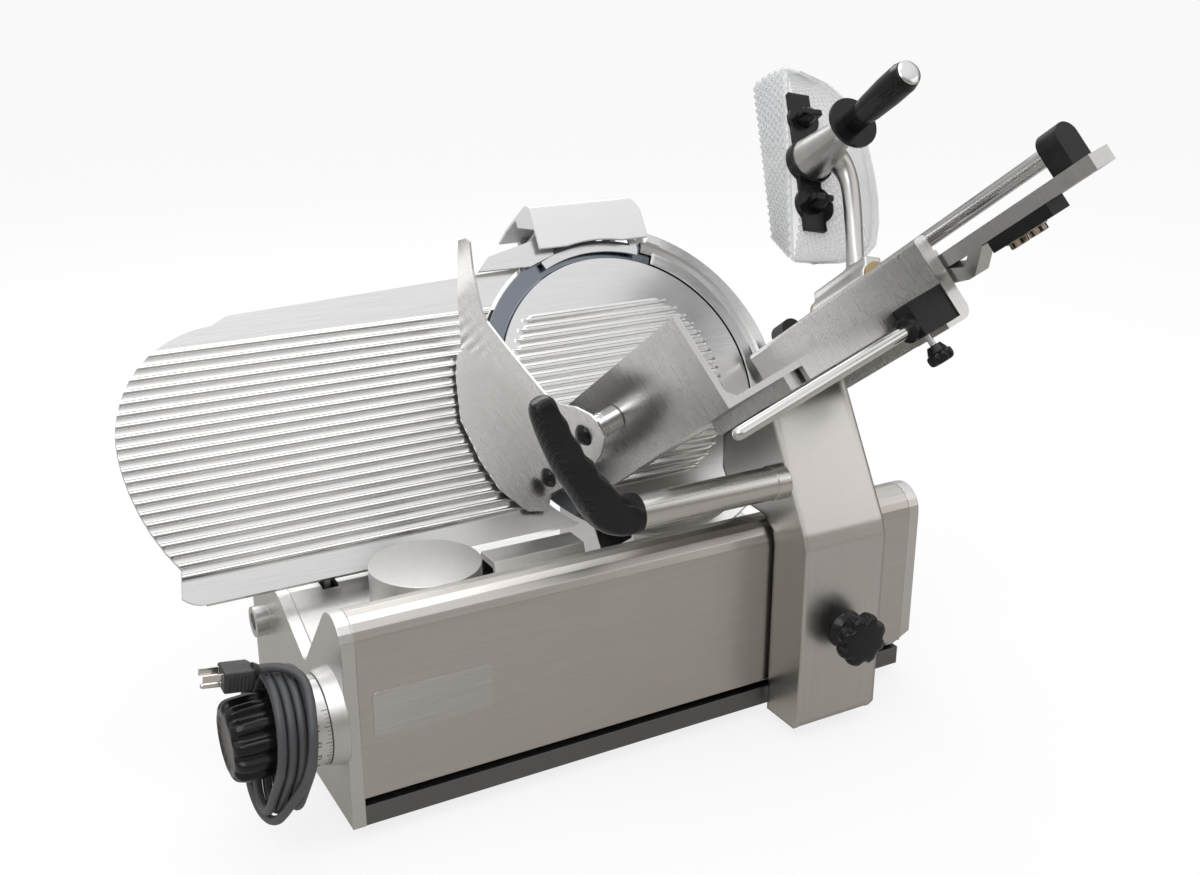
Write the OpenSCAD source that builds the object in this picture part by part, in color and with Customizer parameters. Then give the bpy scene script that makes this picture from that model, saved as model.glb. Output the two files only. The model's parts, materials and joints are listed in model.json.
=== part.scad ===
// Gravity-feed meat slicer with a 330 mm blade.
// X runs along the carriage travel, away from the operator.
// Y runs from the carriage side to the side where the slices fall.
// Z is up. The sizes are laid out from the bench straight below the blade's centre, and
// the finished machine is moved so that the origin lies under its right front foot.
// The blade frame has X along the travel, Y up the tilted blade and Z towards the food.
// The tray frame is the blade frame turned about the feed direction.

/* [Blade] */
// Blade diameter
blade_d = 330; // [320:1:340]
// Height of the blade centre above the bench
blade_centre_z = 285; // [284:0.5:287]
// Tilt of the blade's plane away from vertical, in degrees
blade_tilt = 35; // [34.5:0.5:35.5]
// Width of the ground bevel that shows outside the cover disc
cover_margin = 21; // [19:1:23]
// Radial gap between the blade edge and the ring guard's wall
guard_gap = 4; // [3:0.5:5]
// Radial thickness of the ring guard
guard_wall = 11; // [9:1:13]

/* [Gauge plate] */
// Length of the gauge plate along the carriage travel
gauge_len = 438; // [430:1:440]
// Height of the gauge plate below the blade centre
gauge_low = 134; // [130:1:136]
// Height of the gauge plate above the blade centre
gauge_high = 146; // [140:1:150]
// Distance between two ribs
rib_pitch = 10.4; // [10:0.1:10.8]
// Number of ribs on the gauge plate
rib_count = 21; // [17:1:21]
// Travel of the gauge plate, which is the thickest slice
gauge_travel = 16; // [12:1:16]

/* [Base] */
// Left end of the base, where the thickness knob is
base_left = 408; // [400:1:412]
// Right end of the base
base_right = 200; // [196:1:206]
// Distance of the long front cover from the blade centre
cover_front = 236; // [232:1:240]
// Height of the long front cover
cover_top = 208; // [204:1:210]
// Height of the front cover's lower edge above the bench
cover_low = 42; // [40:0.5:44]
// Sheet thickness of the covers
sheet = 2.5; // [2:0.5:3]
// Distance of the right feet from the blade centre
foot_right = 150; // [140:1:160]
// Distance of the front feet from the blade centre
foot_front = 180; // [170:1:190]
// Height of the rubber feet
foot_h = 14; // [12:1:14]
// Diameter of the rod that the carriage slides on
slide_rod_d = 25; // [20:1:26]
// Running clearance of the bearings on their shafts, on the radius
fit = 0.05; // [0.02:0.01:0.09]

/* [Thickness knob] */
// Diameter of the thickness knob over its flutes
knob_d = 74; // [68:1:76]
// Length of the thickness knob
knob_len = 56; // [50:1:58]
// Number of flutes on the thickness knob
knob_flutes = 12; // [8:1:16]
// Diameter of the graduated ring
dial_d = 77; // [74:1:80]
// Height of the knob's axis above the bench
knob_z = 112; // [110:1:114]
// Distance of the knob's axis from the blade centre
knob_front = 206; // [204:1:208]

/* [Carriage] */
// Width of the carriage arm
arm_w = 92; // [86:1:96]
// Left side of the carriage arm, from the blade centre
arm_left = 18; // [14:1:20]
// Distance of the arm's front face from the blade centre
arm_front = 290; // [288:1:296]
// Turn of the tray about the feed direction, in degrees
tray_turn = 17; // [16:0.5:18]
// Distance of the tray's left wall from the blade centre
tray_left = 113; // [110:1:114]
// Depth of the tray below the blade centre
tray_low = 84; // [82:1:86]
// Height of the left wall's rim above the blade centre
tray_rim = 6; // [0:1:8]
// Length of the tray along the feed direction
tray_len = 282; // [274:1:284]
// Wall thickness of the tray
tray_wall = 6; // [5:0.5:7]
// Distance of the tray's right wall from the blade centre
tray_right = 142; // [140:1:144]
// Travel of the carriage towards the operator
carriage_travel = 290; // [240:5:290]

/* [Food pusher] */
// Diameter of the pusher's guide bar
guide_d = 16; // [14:1:18]
// Turn of the parked pusher arm from the tray's wall, in degrees
pusher_park = 30; // [28:1:32]
// Height of the spiked plate
spike_plate_h = 226; // [210:2:230]
// Width of the spiked plate's flat panel
spike_plate_w = 106; // [98:1:108]
// Diameter of the pusher's handle
pusher_handle_d = 31; // [28:1:32]

/* [Shared sizes] */
// Diameter of the power cord
cord_d = 8; // [7:0.5:9]
// Diameter of the handle tube on the arm
handle_d = 31; // [29:1:33]
// Length of the handle tube
handle_len = 156; // [150:1:160]
// Height of the handle tube above the bench
handle_z = 256; // [254:1:258]

/* [Hidden] */
$fn = 48;
blade_r = blade_d / 2;
cover_r = blade_r - cover_margin;
guard_in = blade_r + guard_gap;
guard_out = guard_in + guard_wall;
wall = 6;
end_t = 12;
corner_r = 25;
notch_y = -129;
notch_z = 127;
rod_y = -180;
rod_z = 72;
rod_r = slide_rod_d / 2;
floor_z = foot_h + 2;
plate_t = 4;
gauge_n = -6;
guide_x = -295;
guide_u = -95;
index_r = 10;
cam_start_r = 5.5;
cam_pin_r = 2.5;
cam_play = 0.8;
cam_half = cam_pin_r + cam_play;
cam_turn = 330;
cam_x = -372;
boss_len = 14;
cross_rod_r = 6;
dial_len = 20;
motor_x = 88;
motor_u = -78;
motor_r = 42;
pulley_r = 60;
motor_pulley_r = 16;
knob_neck_r = 13;
tray_near = tray_len + 10;
guide_h = tray_right + 38;
guide_t = -43;
beam_h = tray_right + 31;
beam_t = -69;
pusher_n = 175;
pusher_x = -20;
pusher_y = 154;
gap = 0.4;
hank_w = 36;
hinge_u = 199;
hinge_n = -80;
hinge_pin_r = 2.5;
bush_r = guide_d / 2 + 3;
lock_x = arm_left + 50;
lock_z = 110;

// Moves the finished machine so that its right front foot stands on the origin.
module placed() {
    translate([-foot_right, foot_front, 0])
        children();
}

// Places the children in the blade frame.
module blade_frame() {
    translate([0, 0, blade_centre_z])
        rotate([90 - blade_tilt, 0, 0])
            children();
}

// Places the children in the tray frame.
module tray_frame() {
    blade_frame()
        rotate([0, 0, tray_turn])
            children();
}

// Places the children on the parked pusher, with its guide bar on the Z axis.
module pusher_frame() {
    tray_frame()
        translate([guide_h, guide_t, 0])
            rotate([0, 0, -pusher_park])
                children();
}

// Places the children on the knob's axis, with Z out of the left end cap.
module knob_frame() {
    translate([-base_left, -knob_front, knob_z])
        rotate([0, -90, 0])
            children();
}

// Extrudes an outline drawn in Y and Z from one X to another.
module along_x(from, to) {
    translate([from, 0, 0])
        rotate([90, 0, 90])
            linear_extrude(to - from)
                children();
}

// A bar with round ends in the XY plane.
module slot_shape(a, b, r) {
    hull() {
        translate(a) circle(r);
        translate(b) circle(r);
    }
}

// A box with its edges along Z rounded, resting on Z = 0.
module soft_box(size, r) {
    linear_extrude(size[2])
        hull()
            for (x = [r, size[0] - r], y = [r, size[1] - r])
                translate([x, y])
                    circle(r, $fn = 24);
}

// Points on an arc from one angle to another.
function arc(c, r, a0, a1, steps) =
    [for (i = [0:steps]) c + r * [cos(a0 + (a1 - a0) * i / steps), sin(a0 + (a1 - a0) * i / steps)]];

// Outline of the front cover in Y and Z, moved inwards by s.
function cover_line(s) = concat(
    [[-cover_front + s, cover_low]],
    arc([-cover_front + corner_r, cover_top - corner_r], corner_r - s, 180, 41, 8),
    [[notch_y - 0.75 * s, notch_z - 0.66 * s]]);

// Reversed order of a list of points.
function backwards(points) = [for (i = [len(points) - 1:-1:0]) points[i]];

module base_casting() {
    left_top = [[notch_y, floor_z], [notch_y, notch_z - 3], [-53, 157], [-15, 157], [34, 148], [40, 140],
        [40, floor_z]];
    hump_top = [[notch_y, floor_z], [notch_y, notch_z - 3], [-112, 171], [-84, 171], [-70, 150],
        [-58, 98], [-20, 98], [-20, 70], [150, 70], [150, floor_z]];
    deck_top = [[notch_y, floor_z], [notch_y, notch_z - 3], [notch_y + wall, notch_z - 3],
        [notch_y + wall, 98], [-20, 98], [-20, 70], [150, 70], [150, floor_z]];
    color("silver")
    difference() {
        union() {
            along_x(-base_left + end_t, -215) polygon(left_top);
            along_x(-215, -118) polygon(hump_top);
            along_x(-118, base_right - end_t) polygon(deck_top);
            translate([guide_x, -140, 112])
                cylinder(r = 51, h = 88, $fn = 96);
            blade_frame()
                translate([guide_x, guide_u, -112])
                    cylinder(r = 24, h = 32);
        }
        // The hollow underside of each section
        along_x(-base_left + end_t + wall, -215 - wall)
            polygon([[notch_y + wall, 0], [notch_y + wall, notch_z - 9], [-53, 150], [-15, 150], [34, 141],
                [34, 0]]);
        along_x(-215, -118 - wall)
            polygon([[notch_y + wall, 0], [notch_y + wall, 120], [-110, 164], [-86, 164], [-76, 148],
                [-64, 92], [-26, 92], [-26, 64], [144, 64], [144, 0]]);
        along_x(-118, base_right - end_t - wall)
            polygon([[notch_y + wall, 0], [notch_y + wall, 92], [-26, 92], [-26, 64], [144, 64],
                [144, 0]]);
        // Room for the front mechanism and the slots of the index arm
        translate([-366, notch_y - 2, 84])
            cube([16, 12, 36]);
        translate([-366, -58, 100])
            cube([16, 58, 70]);
        blade_frame()
            translate([guide_x, guide_u, -120])
                cylinder(r = index_r, h = 50);
        translate([guide_x, -140, 100])
            cylinder(r = 45, h = 94, $fn = 96);
        // Cable way behind the knob end
        translate([-396, -70, 60])
            rotate([0, -90, 0])
                translate([0, 0, -12])
                    cylinder(r = 9, h = 30);
    }
}

module front_cover() {
    color("lightgray")
    difference() {
        along_x(-base_left + end_t, base_right - end_t)
            polygon(concat(cover_line(0), backwards(cover_line(sheet))));
        translate([guide_x, -140, 100])
            cylinder(r = 52, h = 130, $fn = 96);
    }
}

module left_end_cap() {
    color("silver")
    difference() {
        union() {
            along_x(-base_left, -base_left + end_t)
                polygon(concat([[-cover_front, foot_h + 1]],
                    arc([-cover_front + corner_r, cover_top - corner_r], corner_r, 180, 41, 8),
                    arc([notch_y + 4, notch_z + 6], 8, 221, 293, 4),
                    arc([-50, 142], 15, 113, 90, 2),
                    arc([10, 127], 30, 84, 0, 6),
                    [[40, foot_h + 1]]));
            knob_frame()
                cylinder(d1 = dial_d + 9, d2 = dial_d + 3, h = boss_len, $fn = 96);
            translate([-base_left, -9, 113])
                rotate([0, -90, 0])
                    cylinder(r = 15, h = 14);
        }
        knob_frame()
            translate([0, 0, -end_t - 1])
                cylinder(r = 8 + fit, h = boss_len + end_t + 2);
        translate([-base_left - 6, -9, 113])
            rotate([0, -90, 0])
                cylinder(r = 9, h = 14);
        translate([-base_left + end_t, -70, 60])
            rotate([0, -90, 0])
                translate([0, 0, -1])
                    cylinder(r = 9, h = 30);
    }
}

module right_end_cap() {
    color("silver")
    along_x(base_right - end_t, base_right)
        polygon(concat([[-206, foot_h + 1], [-cover_front, cover_low + 8]],
            arc([-cover_front + corner_r, cover_top - corner_r], corner_r, 180, 41, 8),
            [[notch_y, notch_z], [notch_y + wall, 98], [-20, 98], [-20, 70], [144, 70], [150, 64],
                [150, foot_h + 1]]));
}

module bottom_plate() {
    color("gray")
    union() {
        translate([-base_left + end_t, -cover_front + 2, foot_h])
            cube([base_left + base_right - 2 * end_t, cover_front + 36, 2]);
        translate([-215, -cover_front + 2, foot_h])
            cube([215 + base_right - end_t, cover_front + 146, 2]);
    }
}

module guide_rail() {
    color("dimgray")
    translate([-base_left + end_t, -cover_front + 2, floor_z])
        cube([base_left + base_right - 2 * end_t, 8, cover_low - 9 - floor_z]);
}

module slide_rod() {
    color("gainsboro")
    translate([-base_left + end_t, rod_y, rod_z])
        rotate([0, 90, 0])
            cylinder(r = rod_r, h = base_left + base_right - 2 * end_t);
}

module rubber_feet() {
    color("black")
    for (p = [[-345, -foot_front], [-345, 5], [foot_right, -foot_front], [foot_right, 112]])
        translate([p[0], p[1], 0])
            cylinder(r1 = 15, r2 = 18, h = foot_h);
}

module index_rod() {
    color("gainsboro")
    blade_frame()
        translate([guide_x, guide_u, -112])
            cylinder(r = index_r, h = 81.4);
}

module switch_box() {
    color("dimgray")
    difference() {
        translate([-372, 40, 62])
            rotate([-90, 0, 0])
                translate([0, -62, 0])
                    soft_box([88, 62, 9], 8);
        for (x = [-350, -306])
            translate([x, 41.5, 93])
                rotate([-90, 0, 0])
                    cylinder(r = 11 + gap, h = 12);
    }
}

module push_button(x) {
    translate([x, 45.4, 93])
        rotate([-90, 0, 0])
            union() {
                cylinder(r = 11, h = 8);
                translate([0, 0, 8])
                    cylinder(r1 = 11, r2 = 9, h = 2);
            }
}

module start_button() {
    color("green")
        push_button(-350);
}

module stop_button() {
    color("red")
        push_button(-306);
}

module blade_head() {
    color("silver")
    difference() {
        union() {
            blade_frame() {
                intersection() {
                    translate([0, 0, -66])
                        cylinder(r = guard_out, h = 8, $fn = 128);
                    translate([-60, -guard_out - 1, -70])
                        cube([300, 2 * guard_out + 2, 20]);
                }
                rotate([0, 0, -108])
                    rotate_extrude(angle = 176, $fn = 128)
                        translate([guard_in, -60])
                            square([guard_wall, 40]);
                translate([0, 0, -58])
                    cylinder(r = 30, h = 3);
            }
            along_x(-50, 35)
                polygon([[-49.8, 98], [-49.8, 98.9], [19.6, 197.9], [70, 150], [70, 70], [-20, 70],
                    [-20, 98]]);
        }
        blade_frame() {
            translate([0, 0, -90])
                cylinder(r = 15, h = 60);
            translate([motor_x, motor_u, -70])
                cylinder(r = 12, h = 20);
        }
    }
}

module ring_guard() {
    color("gainsboro")
    blade_frame() {
        rotate([0, 0, -108])
            rotate_extrude(angle = 176, $fn = 128)
                polygon([[guard_out, -20], [guard_out, 4], [guard_out - 2, 6], [guard_in - 2, 6.5],
                    [guard_in - 5, 5], [blade_r - 7, 3.2], [blade_r - 9, 2.4], [blade_r - 9, 1.4],
                    [guard_in, 1.4], [guard_in, -20]]);
        // Catch at the ring's upper end
        rotate([0, 0, 64])
            translate([guard_in - 3, -8, 3])
                cube([9, 16, 8]);
    }
}

module blade_spindle() {
    color("gainsboro")
    blade_frame()
        difference() {
            union() {
                translate([0, 0, -66])
                    cylinder(r = 15, h = 58);
                translate([0, 0, -55])
                    cylinder(r = 26, h = 3);
            }
            translate([0, 0, -70])
                cylinder(r = 5 + fit, h = 70);
        }
}

module blade_bearings() {
    color("gainsboro")
    blade_frame()
        for (n = [-50, -26])
            translate([0, 0, n])
                difference() {
                    cylinder(r = 24, h = 12);
                    translate([0, 0, -1])
                        cylinder(r = 15, h = 14);
                }
}

module blade() {
    color("lightsteelblue")
    blade_frame()
        rotate_extrude($fn = 180)
            polygon([[46, -10], [46, -5.5], [blade_r - 24, -5.5], [blade_r - 19, -2.4], [blade_r, 0],
                [blade_r - 2, -1.5], [blade_r - 15, -4.6], [blade_r - 27, -8.6], [blade_r - 65, -10]]);
}

module blade_pulley() {
    color("darkgray")
    blade_frame()
        rotate_extrude($fn = 96)
            polygon(concat([[24 + fit, -51.5], [24 + fit, -12], [24 + fit, -7], [45.9, -7], [45.9, -10.1],
                [pulley_r - 2, -10.1], [pulley_r - 2, -15], [36, -18], [36, -30], [pulley_r + 1.5, -30],
                [pulley_r + 1.5, -31.5]],
                [for (i = [0:5]) each [[pulley_r, -33 - 2.1 * i], [pulley_r - 1.2, -34 - 2.1 * i]]],
                [[pulley_r + 1.5, -46.5], [pulley_r + 1.5, -48], [36, -48], [36, -51.5]]));
}

module motor_pulley() {
    color("darkgray")
    blade_frame()
        translate([motor_x, motor_u, 0]) {
            translate([0, 0, -150])
                cylinder(r = 6, h = 122);
            translate([0, 0, -47])
                rotate_extrude()
                    polygon([[5, 0], [motor_pulley_r + 1.5, 0], [motor_pulley_r + 1.5, 1.5],
                        [motor_pulley_r, 2], [motor_pulley_r, 14], [motor_pulley_r + 1.5, 14.5],
                        [motor_pulley_r + 1.5, 16], [5, 16]]);
        }
}

module drive_belt() {
    belt_gap = 0.35;
    color("black")
    blade_frame()
        translate([0, 0, -44.5])
            linear_extrude(11.5)
                difference() {
                    hull() {
                        circle(pulley_r + belt_gap + 3, $fn = 96);
                        translate([motor_x, motor_u]) circle(motor_pulley_r + belt_gap + 3);
                    }
                    hull() {
                        circle(pulley_r + belt_gap, $fn = 96);
                        translate([motor_x, motor_u]) circle(motor_pulley_r + belt_gap);
                    }
                }
}

module motor() {
    color("slategray")
    blade_frame()
        translate([motor_x, motor_u, 0])
            difference() {
                union() {
                    translate([0, 0, -70])
                        cylinder(r = 30, h = 4);
                    translate([0, 0, -162])
                        cylinder(r = motor_r - 2, h = 92, $fn = 64);
                    for (n = [-156, -146, -136, -126, -116, -106, -96, -86, -76])
                        translate([0, 0, n])
                            cylinder(r = motor_r, h = 4, $fn = 64);
                }
                translate([0, 0, -151])
                    cylinder(r = 6 + fit, h = 90);
            }
}

module motor_cover() {
    outer = 2 * motor_r + 12;
    color("silver")
    blade_frame()
        translate([motor_x - outer / 2, motor_u - outer / 2, -172])
            difference() {
                soft_box([outer, outer, 106], 14);
                translate([4, 4, 4])
                    soft_box([outer - 8, outer - 8, 110], 10);
            }
}

module slice_deflector() {
    color("gainsboro")
    blade_frame()
        intersection() {
            translate([0, 110, 0])
                rotate([90, 0, 0])
                    linear_extrude(200)
                        polygon([[-152, -15], [-150, -14], [-110, -26], [-78, -44], [-60, -58],
                            [-60, -60], [-79, -46], [-111, -28]]);
            // Round edge inside the gauge plate's cut-out
            translate([0, 0, -80])
                cylinder(r = blade_r, h = 80, $fn = 128);
        }
}

module sharpener_base() {
    color("silver")
    blade_frame() {
        translate([-45, 150, -74])
            cube([90, 52, 8]);
        for (x = [-22, 22]) {
            translate([x - 6, 193, -67])
                cube([12, 6, 34]);
            translate([x, 164, -40])
                rotate([-90, 0, 0])
                    cylinder(r = 4, h = 30);
        }
        // Plate over the blade's upper left edge
        translate([0, 0, 3.5])
            linear_extrude(3)
                polygon([[-138, 143], [-122, 158], [-70, 170], [-56, guard_out + 3], [-48, guard_out + 3],
                    [-48, 152], [-78, 142]]);
        // Curved strip under the sharpener
        translate([0, 0, 3.5])
            rotate([0, 0, 70])
                rotate_extrude(angle = 44, $fn = 128)
                    translate([150, 0])
                        square([9, 2.5]);
        // Tie between the strip, the plate and the rear plate
        translate([-56, guard_out - 4, -74])
            cube([8, 8, 80]);
        translate([-56, guard_out - 4, -74])
            cube([20, 8, 8]);
        translate([46, 150, 3.5])
            cube([8, guard_out - 146, 2.5]);
        translate([46, guard_out - 4, -74])
            cube([8, 8, 80]);
        translate([40, guard_out - 4, -74])
            cube([14, 8, 8]);
        // Hinge pin of the cover and its two lugs
        translate([-40, hinge_u, hinge_n])
            rotate([0, 90, 0])
                cylinder(r = hinge_pin_r, h = 80);
        for (x = [-27.6, 20])
            translate([x, hinge_u - 5, hinge_n - 4])
                cube([7.6, 8, 10]);
    }
}

module sharpener_cover() {
    color("whitesmoke")
    blade_frame()
        difference() {
            rotate([0, 0, 0])
                translate([-66, 0, 0])
                    rotate([90, 0, 90])
                        linear_extrude(132)
                            polygon(concat([[157, 12], [157, 15]],
                                [[186, 16]], arc([196, 4], 14, 60, 2, 5),
                                [[209.5, -50], [206, -76], [203.5, -76], [206.5, -50]],
                                arc([196, 4], 11.5, 2, 60, 5), [[185, 13]]));
            // Lower edge that follows the blade
            translate([0, 0, 8])
                cylinder(r = 160.5, h = 12, $fn = 128);
            // Rounded upper corner at the right end
            translate([66, 210, -80])
                rotate([0, 0, 180])
                    difference() {
                        translate([-1, -1, 0])
                            cube([27, 27, 110]);
                        translate([26, 26, -1])
                            cylinder(r = 26, h = 112);
                    }
        }
    color("whitesmoke")
    blade_frame()
        for (x = [-40, 28])
            translate([x, 0, 0])
                rotate([90, 0, 90])
                    linear_extrude(12)
                        difference() {
                            union() {
                                translate([hinge_u, hinge_n]) circle(5);
                                polygon([[hinge_u, hinge_n - 5], [206, -80], [206, -72], [203.6, -72],
                                    [203.6, -80], [hinge_u + 4, hinge_n]]);
                            }
                            translate([hinge_u, hinge_n]) circle(hinge_pin_r + fit);
                        }
    color("whitesmoke")
    blade_frame()
        for (x = [-66, 37])
            translate([x, 0, 0])
                rotate([90, 0, 90])
                    linear_extrude(3)
                        polygon(concat([[180, 12.5], [185, 15]], arc([196, 4], 13, 60, 2, 5),
                            [[207, -22], [198, -22]]));
}

module sharpening_stones() {
    color("dimgray")
    blade_frame()
        difference() {
            union() {
                translate([-32, 180, -48])
                    cube([64, 11, 28]);
                translate([-14, 185, -21])
                    cylinder(r = 3, h = 10);
                translate([-14, 185, -13])
                    cylinder(r = 12, h = 8);
                translate([12, 185, -21])
                    cylinder(r = 3, h = 22);
                translate([12, 185, 0.6])
                    cylinder(r = 12, h = 2.6);
            }
            for (x = [-22, 22])
                translate([x, 170, -40])
                    rotate([-90, 0, 0])
                        cylinder(r = 4 + fit, h = 40);
        }
}

module blade_cover() {
    rib_reach = 108;
    color("gainsboro")
    blade_frame() {
        translate([0, 0, -3])
            cylinder(r = cover_r, h = 4, $fn = 180);
        for (i = [0:18])
            let (u = 86 - rib_pitch * i,
                left = sqrt(pow(134, 2) - u * u),
                right = sqrt(pow(rib_reach + 4, 2) - u * u))
                translate([-left, u, 0.4])
                    rotate([0, 90, 0])
                        cylinder(r = 2.4, h = left + right, $fn = 16);
        translate([0, 0, -92])
            cylinder(r = 5, h = 90);
    }
}

module cover_tie_knob() {
    color("black")
    blade_frame()
        translate([0, 0, -108])
            difference() {
                union() {
                    linear_extrude(22)
                        difference() {
                            circle(21);
                            for (a = [0:60:300])
                                rotate(a) translate([24, 0]) circle(6, $fn = 24);
                        }
                    translate([0, 0, 22])
                        cylinder(r = 13, h = 15);
                }
                translate([0, 0, 14])
                    cylinder(r = 5 + fit, h = 30);
            }
}

module gauge_plate() {
    left = -gauge_len - 85;
    outline = concat([[-60, gauge_high], [-400, gauge_high - 14]],
        arc([left + 112, gauge_high - 134], 112, 92, 180, 12),
        arc([left + 210, 12], 210, 184, 212, 5),
        arc([left + 47, 26 - gauge_low], 26, 220, 270, 4),
        [[-60, -gauge_low]]);
    color("gainsboro")
    blade_frame() {
        difference() {
            union() {
                translate([0, 0, gauge_n])
                    linear_extrude(plate_t)
                        polygon(outline);
                intersection() {
                    translate([0, 0, gauge_n])
                        linear_extrude(plate_t + 5)
                            polygon(outline);
                    for (i = [0:rib_count - 1])
                        translate([-530, 102 - rib_pitch * i, gauge_n + plate_t - 1])
                            rotate([0, 90, 0])
                                cylinder(r = 2.9, h = 480, $fn = 16);
                }
                // Turned lower lip
                translate([left + 48, -gauge_low, gauge_n - 8])
                    cube([gauge_len - 46, 3.5, 10]);
            }
            translate([0, 0, -30])
                cylinder(r = blade_r + 4, h = 60, $fn = 180);
        }
    }
}

module gauge_bracket() {
    pin_y = -knob_front + cam_start_r * cos(blade_tilt);
    pin_z = knob_z - cam_start_r * sin(blade_tilt);
    color("silver")
    difference() {
        union() {
            blade_frame() {
                translate([-364, -116, gauge_n - 6])
                    cube([128, 150, 6]);
                translate([guide_x, guide_u, -38])
                    cylinder(r = 19, h = 30);
                for (x = [-350, -262])
                    translate([x, -110, gauge_n - 18])
                        cube([6, 130, 14]);
            }
            // Arm to the index cam
            along_x(-361, -355)
                polygon([[pin_y - 7, pin_z - 7], [pin_y - 7, pin_z + 7], [-50, pin_z + 10], [-46, 180],
                    [-46, 200], [-24, 206], [-24, pin_z - 7]]);
            translate([-361, -50, 176])
                cube([52, 22, 14]);
            translate([-367, pin_y, pin_z])
                rotate([0, 90, 0])
                    cylinder(r = cam_pin_r, h = 8);
        }
        blade_frame()
            translate([guide_x, guide_u, -70])
                cylinder(r = index_r + fit, h = 58);
    }
}

module cam_spindle() {
    // Groove of the index cam: its radius grows evenly with the turn
    groove = [for (i = [0:44]) let (a = cam_turn * i / 44, r = cam_start_r + gauge_travel * i / 44)
        [r, a]];
    color("darkgray")
    union() {
        knob_frame()
            translate([0, 0, -36])
                cylinder(r = 8, h = 36 + boss_len + dial_len + 46);
        translate([cam_x, -knob_front, knob_z])
            rotate([90, 0, 90])
                difference() {
                    cylinder(r = 26.5, h = 8, $fn = 96);
                    // The groove starts where the follower is at rest
                    rotate([0, 0, -blade_tilt])
                        translate([0, 0, 3])
                            linear_extrude(6)
                                polygon(concat(
                                    [for (g = groove) (g[0] + cam_half) * [cos(g[1]), sin(g[1])]],
                                    arc(groove[44][0] * [cos(cam_turn), sin(cam_turn)], cam_half,
                                        cam_turn, cam_turn + 180, 6),
                                    backwards([for (g = groove) (g[0] - cam_half) * [cos(g[1]), sin(g[1])]]),
                                    arc([cam_start_r, 0], cam_half, 180, 360, 6)));
                }
    }
}

module thickness_knob() {
    color("black")
    knob_frame()
        translate([0, 0, boss_len + dial_len + 2])
            difference() {
                union() {
                    cylinder(r = 24, h = 8);
                    translate([0, 0, 4])
                        linear_extrude(knob_len - 8)
                            difference() {
                                circle(knob_d / 2 - 1.5, $fn = 96);
                                for (a = [0:360 / knob_flutes:359])
                                    rotate(a) translate([knob_d / 2 + 1.5, 0]) circle(5, $fn = 24);
                            }
                    translate([0, 0, knob_len - 4])
                        cylinder(r1 = knob_d / 2 - 5, r2 = knob_d / 2 - 10, h = 4);
                }
                translate([0, 0, -1])
                    cylinder(r = 8, h = 47);
            }
}

module dial_ring() {
    color("gainsboro")
    knob_frame()
        translate([0, 0, boss_len + gap])
            difference() {
                cylinder(d = dial_d, h = dial_len, $fn = 96);
                translate([0, 0, -1])
                    cylinder(r = 8, h = dial_len + 2);
            }
}

module carriage_arm() {
    shell = 5;
    outer = [[-arm_front + 6, 12], [-arm_front, 20], [-arm_front, 200], [-arm_front + 5, 214], [-206, 350],
        [-150, 350], [-150, 238], [-166, 216], [-222, 213], [-237, 203], [-240.5, 188], [-240.5, 12]];
    inner = [[-arm_front + shell, 0], [-arm_front + shell, 202], [-201, 360], [-160, 360], [-158, 246],
        [-170, 224], [-222, 221], [-243, 209], [-247, 188], [-247, 0]];
    color("silver")
    difference() {
        along_x(arm_left, arm_left + arm_w) polygon(outer);
        along_x(arm_left + shell, arm_left + arm_w - shell) polygon(inner);
        // Open back for the foot of the slide block
        translate([arm_left + shell, -248, -1])
            cube([arm_w - 2 * shell, 20, 60]);
        // Top cut to the tray's underside
        tray_frame()
            translate([-300, -tray_low - 14, -100])
                cube([700, 400, 600]);
        // Holes for the lock knob and the handle
        translate([lock_x, -arm_front - 1, lock_z])
            rotate([-90, 0, 0])
                cylinder(r = 6, h = 12);
    }
}

module slide_block() {
    color("dimgray")
    difference() {
        union() {
            translate([arm_left + 6, rod_y - 26, 46])
                cube([arm_w - 12, 52, 52]);
            translate([arm_left + 6, -arm_front + 5, cover_low - 7])
                cube([arm_w - 12, arm_front - 159, 5]);
            translate([arm_left + 6, rod_y - 20, cover_low - 7])
                cube([arm_w - 12, 41, 12]);
            translate([arm_left + 6, -arm_front + 5, cover_low - 7])
                cube([arm_w - 12, 6, lock_z + 20 - cover_low]);
        }
        translate([0, rod_y, rod_z])
            rotate([0, 90, 0])
                cylinder(r = rod_r + fit, h = 300);
        translate([lock_x, -arm_front - 1, lock_z])
            rotate([-90, 0, 0])
                cylinder(r = 5 + fit, h = 40);
    }
}

module lobed_knob(r, lobes, h, lobe_r) {
    linear_extrude(h)
        union() {
            circle(r - lobe_r * 0.6, $fn = 64);
            for (a = [0:360 / lobes:359])
                rotate(a) translate([r - lobe_r, 0]) circle(lobe_r, $fn = 24);
        }
}

module tray_lock_knob() {
    color("black")
    translate([lock_x, -arm_front, lock_z])
        rotate([90, 0, 0])
            union() {
                translate([0, 0, -24])
                    cylinder(r = 5, h = 30);
                translate([0, 0, gap])
                    cylinder(r1 = 19, r2 = 14, h = 9);
                translate([0, 0, 9])
                    cylinder(r = 11, h = 8);
                translate([0, 0, 15])
                    lobed_knob(26, 8, 18, 6.5);
            }
}

module handle_tube() {
    color("gainsboro")
    translate([arm_left, -247, handle_z])
        rotate([0, -90, 0])
            union() {
                cylinder(d = handle_d + 2, h = 14);
                cylinder(d = handle_d, h = handle_len, $fn = 64);
            }
}

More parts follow.
